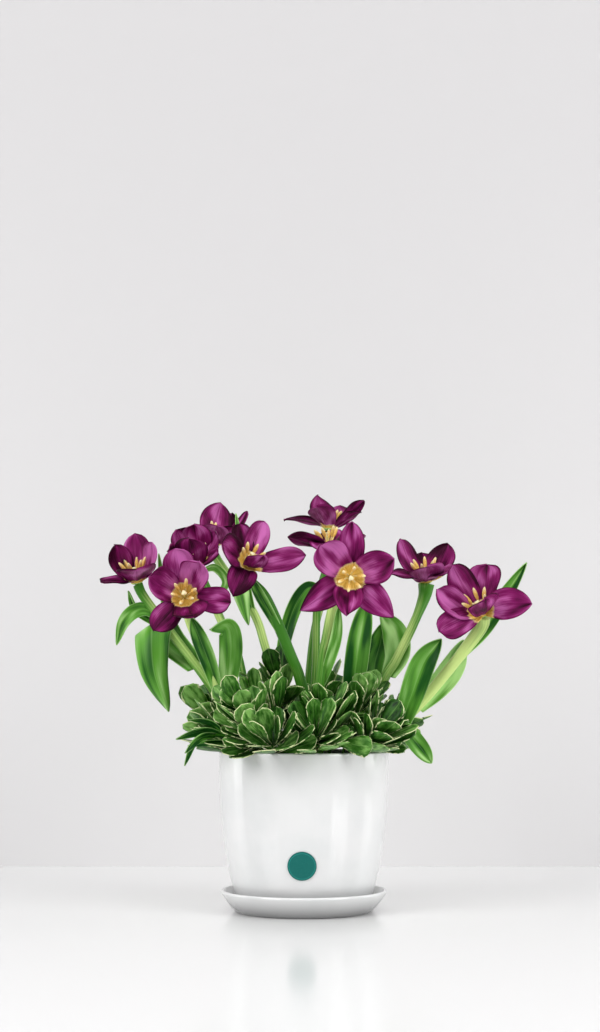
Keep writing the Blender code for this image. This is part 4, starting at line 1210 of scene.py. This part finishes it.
def sprig_shape(along):
    """A sprig leaf's half-width as a share of its widest: narrow, then broad, with a round end."""
    if along < SPRIG_WIDEST:
        return 0.11 + 0.89 * math.sin(0.5 * math.pi * along / SPRIG_WIDEST) ** SPRIG_ROUNDNESS
    past_widest = (along - SPRIG_WIDEST) / (1.0 - SPRIG_WIDEST)
    return math.sqrt(max(0.0, 1.0 - past_widest**SPRIG_ROUNDNESS))


def sprig_pattern():
    """The leaf that every sprig leaf is copied from: flat, of unit size, with scalloped edges."""
    thing = sheet("sprig_leaf", SPRIG_COLUMNS, len(SPRIG_ROWS) - 1)
    for loop in thing.data.uv_layers.active.data:
        loop.uv.y = SPRIG_ROWS[round(loop.uv.y * (len(SPRIG_ROWS) - 1))]
    for vertex in thing.data.vertices:
        along = SPRIG_ROWS[round((vertex.co.y + 0.5) * (len(SPRIG_ROWS) - 1))]
        across = 2 * vertex.co.x
        scallop = 1 + SCALLOP_DEPTH * math.sin(24.0 * along + 2.0 * (across > 0)) * abs(across) ** 2 * along
        vertex.co.x = across * (sprig_shape(along) * scallop + 0.012)
        vertex.co.y = along
    for surface in (SPRIG_UPPER, SPRIG_UNDER):
        thing.data.materials.append(surface)
    harden(thing, "SOLIDIFY", {"thickness": PATTERN_THICKNESS, "offset": 0.0, "material_offset": 1})
    thing.data.shade_smooth()
    return thing


pattern = sprig_pattern()


def sprig_stem(index, ring, angle, attempt):
    """One try at the course of a sprig's stalk."""
    draw = random.Random(10_000 * index + attempt)
    angle += draw.uniform(-SPRIG_TWIST, SPRIG_TWIST)
    outwards = Vector((math.cos(angle), math.sin(angle), 0.0))
    foot = outwards * (ring.soil_radius + draw.uniform(-7, 7))
    crown = outwards * (ring.crown_radius + draw.uniform(-7, 7))
    foot.z = SPRIG_FOOT_HEIGHT
    crown.z = ring.crown_height + draw.uniform(-7, 9)
    return [foot, foot.lerp(crown, 0.55) - outwards * 2.0, crown]


def sprig_leaf_place(course, index, slot, attempt):
    """One try at where a sprig's leaf lies: its root, middle and tip, its side and half-width."""
    draw = random.Random(10_000 * index + 500 * (slot + 1) + attempt)
    heading = (course[2] - course[1]).normalized()
    side = heading.orthogonal().normalized()
    turn = slot * GOLDEN_ANGLE + draw.uniform(-0.7, 0.7)
    if slot >= SPRIG_LEAVES:
        outwards = Vector((course[2].x, course[2].y, 0.0))
        side = (outwards - heading * outwards.dot(heading)).normalized()
        turn = draw.uniform(-FILLER_TURN, FILLER_TURN)
    spread = side * math.cos(turn) + heading.cross(side) * math.sin(turn)
    if slot < SPRIG_LEAVES:
        tilt = math.radians(12 + 9 * slot + draw.uniform(-12, 20))
        root = course[2].lerp(course[1], 0.12 * slot)
        length = draw.uniform(*SPRIG_LEAF_LENGTH)
    else:
        tilt = math.radians(draw.uniform(*FILLER_TILT))
        root = course[2].lerp(course[1], draw.uniform(*FILLER_ROOT))
        length = draw.uniform(*FILLER_LENGTH)
    way = heading * math.cos(tilt) + spread * math.sin(tilt)
    half_width = draw.uniform(*SPRIG_LEAF_HALF_WIDTH)
    middle = root + way * (0.5 * length) + spread * 2.5
    tip = root + way * length + heading * 2.0
    face = (heading - way * heading.dot(way)).normalized()
    across = way.cross(face)
    roll = draw.uniform(-0.4, 0.4)
    across = across * math.cos(roll) + face * math.sin(roll)
    return root, middle, tip, across, half_width


def lay_sprig_leaf(place, tone):
    """A copy of the pattern leaf, bent along its own course and a little boat-shaped."""
    root, middle, tip, across, half_width = place
    thing = pattern.copy()
    thing.data = pattern.data.copy()
    bpy.context.scene.collection.objects.link(thing)
    for vertex in thing.data.vertices:
        t = min(max(vertex.co.y, 0.0), 1.0)
        heading = ((middle - root) * (1 - t) + (tip - middle) * t).normalized()
        side = (across - heading * across.dot(heading)).normalized()
        face = side.cross(heading)
        boat = SPRIG_BOAT * half_width * (vertex.co.x**2 - 0.35) * math.sin(math.pi * t) ** 0.5
        height = boat + vertex.co.z / PATTERN_THICKNESS * SPRIG_LEAF_THICKNESS
        vertex.co = (bent(root, middle, tip, t) + side * (vertex.co.x * half_width) + face * height) * MM
    return tint(thing, tone)


def leaf_strip(place):
    """A plain quad strip along a leaf's course, for seeing what the leaf would touch."""
    root, middle, tip, across, half_width = place
    points = []
    for t, share in ((0.05, 0.2), (0.6, 0.85), (0.87, 1.0), (1.0, 0.3)):
        for way in (-1, 1):
            points.append((bent(root, middle, tip, t) + across * (way * half_width * share)) * MM)
    return points, [(0, 1, 3, 2), (2, 3, 5, 4), (4, 5, 7, 6)]


standing_points = []
standing_faces = []


def stand(points, faces):
    """Adds faces to those that a new leaf has to stay clear of."""
    first = len(standing_points)
    standing_points.extend(points)
    standing_faces.extend(tuple(first + index for index in face) for face in faces)


for name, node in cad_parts.items():
    if name != "label":
        corners = [vertex.co.copy() for vertex in node.data.vertices]
        stand(corners, [tuple(face.vertices) for face in node.data.polygons])


def filler_leaves(course, index, count, first_slot):
    """More leaves along a sprig's stalk, each one clear of all that stands already."""
    made = []
    lowest = (SOIL_HEIGHT + SOIL_CROWN + 1.0) * MM
    tree = BVHTree.FromPolygons(standing_points, standing_faces)
    for slot in range(first_slot, first_slot + count):
        for attempt in range(SPRIG_TRIES):
            place = sprig_leaf_place(course, index, slot, attempt)
            points, faces = leaf_strip(place)
            inside = all(cad_box[0][i] <= point[i] <= cad_box[1][i] for point in points for i in range(3))
            clear = not BVHTree.FromPolygons(points, faces).overlap(tree)
            if inside and clear and min(point.z for point in points) > lowest:
                made.append(place)
                stand(points, faces)
                tree = BVHTree.FromPolygons(standing_points, standing_faces)
                break
    return made


def sprig_course(index, ring, angle, node):
    """The try at a sprig's stalk that starts nearest to the foot of its solid."""
    corners = {tuple(round(value / MM, 2) for value in vertex.co) for vertex in node.data.vertices}
    lowest = sorted(corners, key=lambda corner: corner[2])[:4]
    foot = sum((Vector(corner) for corner in lowest), Vector()) / 4
    tries = [sprig_stem(index, ring, angle, attempt) for attempt in range(SPRIG_TRIES)]
    return min(tries, key=lambda course: (course[0] - foot).length)


def leaves_of_solid(course, index, node):
    """The leaves that the sprig's solid has: the tries whose tips meet its corners."""
    corners = KDTree(len(node.data.vertices))
    for number, vertex in enumerate(node.data.vertices):
        corners.insert(vertex.co / MM, number)
    corners.balance()
    places = []
    for slot in range(SPRIG_LEAVES):
        for attempt in range(SPRIG_TRIES):
            place = sprig_leaf_place(course, index, slot, attempt)
            if corners.find(place[2])[2] < SPRIG_MATCH:
                places.append(place)
                break
    return places


index = 0
for ring in SPRIG_RINGS:
    for step in range(ring.count):
        index += 1
        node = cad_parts.get(f"sprig_{index:02d}")
        if node is None:
            continue
        course = sprig_course(index, ring, 2 * math.pi * (step + 0.5) / ring.count, node)
        pieces = [thin_stalk("sprig_stalk", smooth_course(course, 11), 0.15)]
        places = leaves_of_solid(course, index, node)
        places += filler_leaves(course, index, SPRIG_FILLERS, SPRIG_LEAVES)
        if index in SIDE_SHOOTS:
            shoot = [course[2] + SIDE_SHOOTS[index] * share for share in even_steps(2)]
            pieces.append(thin_stalk("shoot_stalk", shoot, 0.15))
            places += filler_leaves(shoot, index, SHOOT_LEAVES, SPRIG_LEAVES + SPRIG_FILLERS)
        shading = random.Random(500 + index)
        pieces += [lay_sprig_leaf(place, shading.random()) for place in places]
        settle(join(f"sprig_{index:02d}_leaves", pieces), "sprig_green", f"sprig_{index:02d}")
bpy.data.objects.remove(pattern)

# Stage: a plain pale floor with a faint gloss, and a pale wall behind it.
# Neither is part of the object.
WALL_PLACE = 500.0
STAGE_SIZE = 12000.0
FLOOR_WHITE = (0.845, 0.845, 0.845, 1.0)
WALL_LOW = (0.725, 0.715, 0.72, 1.0)
WALL_HIGH = (0.57, 0.56, 0.565, 1.0)


def wall_finish():
    """Plain matt paint, a little greyer higher up, and clear from behind for views from the back."""
    surface, shader, wire = new_finish("wall_board", {"Roughness": 0.9})
    place = wire.node("ShaderNodeTexCoord", {}, {}, "Object")
    height = wire.node("ShaderNodeSeparateXYZ", {}, {0: place}, "Y") + STAGE_SIZE / 2 * MM
    height.rises(-0.2, 1.1).blend(WALL_LOW, WALL_HIGH).feeds(shader, "Base Color")
    paint = Wire(wire.tree, shader.outputs["BSDF"])
    from_behind = wire.node("ShaderNodeNewGeometry", {}, {}, "Backfacing")
    clear = wire.node("ShaderNodeBsdfTransparent", {}, {})
    shown = wire.node("ShaderNodeMixShader", {}, {0: from_behind, 1: paint, 2: clear})
    shown.feeds(wire.tree.nodes["Material Output"], "Surface")
    return surface


floor = added("stage_floor", bpy.ops.mesh.primitive_plane_add, size=STAGE_SIZE * MM)
floor.data.materials.append(new_finish("floor_board", {"Base Color": FLOOR_WHITE, "Roughness": 0.15})[0])
wall_middle = (0.0, WALL_PLACE * MM, STAGE_SIZE / 2 * MM)
upright = (math.radians(90), 0.0, 0.0)
board = bpy.ops.mesh.primitive_plane_add
wall = added("stage_wall", board, size=STAGE_SIZE * MM, location=wall_middle, rotation=upright)
wall.data.materials.append(wall_finish())

# Lights: large soft boxes to the left, right and above, two narrow ones at the back, and a dim room.
# The narrow ones stand a little behind the pot and brighten its edges.
Softbox = namedtuple("Softbox", "place size power")
SOFTBOXES = (
    Softbox((-1500, -1300, 1250), (1100, 1500), 28.0),
    Softbox((1500, -1250, 900), (900, 1500), 20.5),
    Softbox((150, -1050, 2050), (1900, 1300), 20.0),
    Softbox((-1600, 200, 600), (500, 1300), 4.0),
    Softbox((1600, 200, 700), (500, 1300), 5.0),
)
ROOM_GREY = (0.97, 0.97, 1.0, 1.0)
ROOM_STRENGTH = 0.13
LIGHT_TARGET = Vector((0.0, 0.0, 220.0))
for number, softbox in enumerate(SOFTBOXES, start=1):
    lamp = bpy.data.lights.new(f"softbox_{number}", "AREA")
    lamp.shape = "RECTANGLE"
    lamp.size = softbox.size[0] * MM
    lamp.size_y = softbox.size[1] * MM
    lamp.energy = softbox.power
    light = bpy.data.objects.new(f"softbox_{number}", lamp)
    light.location = Vector(softbox.place) * MM
    light.rotation_euler = (LIGHT_TARGET - Vector(softbox.place)).to_track_quat("-Z", "Y").to_euler()
    bpy.context.scene.collection.objects.link(light)
room = bpy.data.worlds.new("pale_room")
bpy.context.scene.world = room
room.use_nodes = True
room.node_tree.nodes["Background"].inputs["Color"].default_value = ROOM_GREY
room.node_tree.nodes["Background"].inputs["Strength"].default_value = ROOM_STRENGTH
bpy.context.scene.view_settings.view_transform = "Standard"

# Camera: straight in front, level with half the object's height.
# Its frame is shifted up, so that the object stands low in the picture.
CAMERA_PLACE = (-4.0, -1890.0, 224.7)
CAMERA_LENS = 61.9
CAMERA_SENSOR = 36.0
CAMERA_RISE = 0.178
lens = bpy.data.cameras.new("camera")
lens.lens = CAMERA_LENS
lens.sensor_fit = "VERTICAL"
lens.sensor_width = CAMERA_SENSOR
lens.sensor_height = CAMERA_SENSOR
lens.shift_y = CAMERA_RISE
camera = bpy.data.objects.new("camera", lens)
camera.location = Vector(CAMERA_PLACE) * MM
camera.rotation_euler = (math.radians(90.0), 0.0, 0.0)
bpy.context.scene.collection.objects.link(camera)
bpy.context.scene.camera = camera
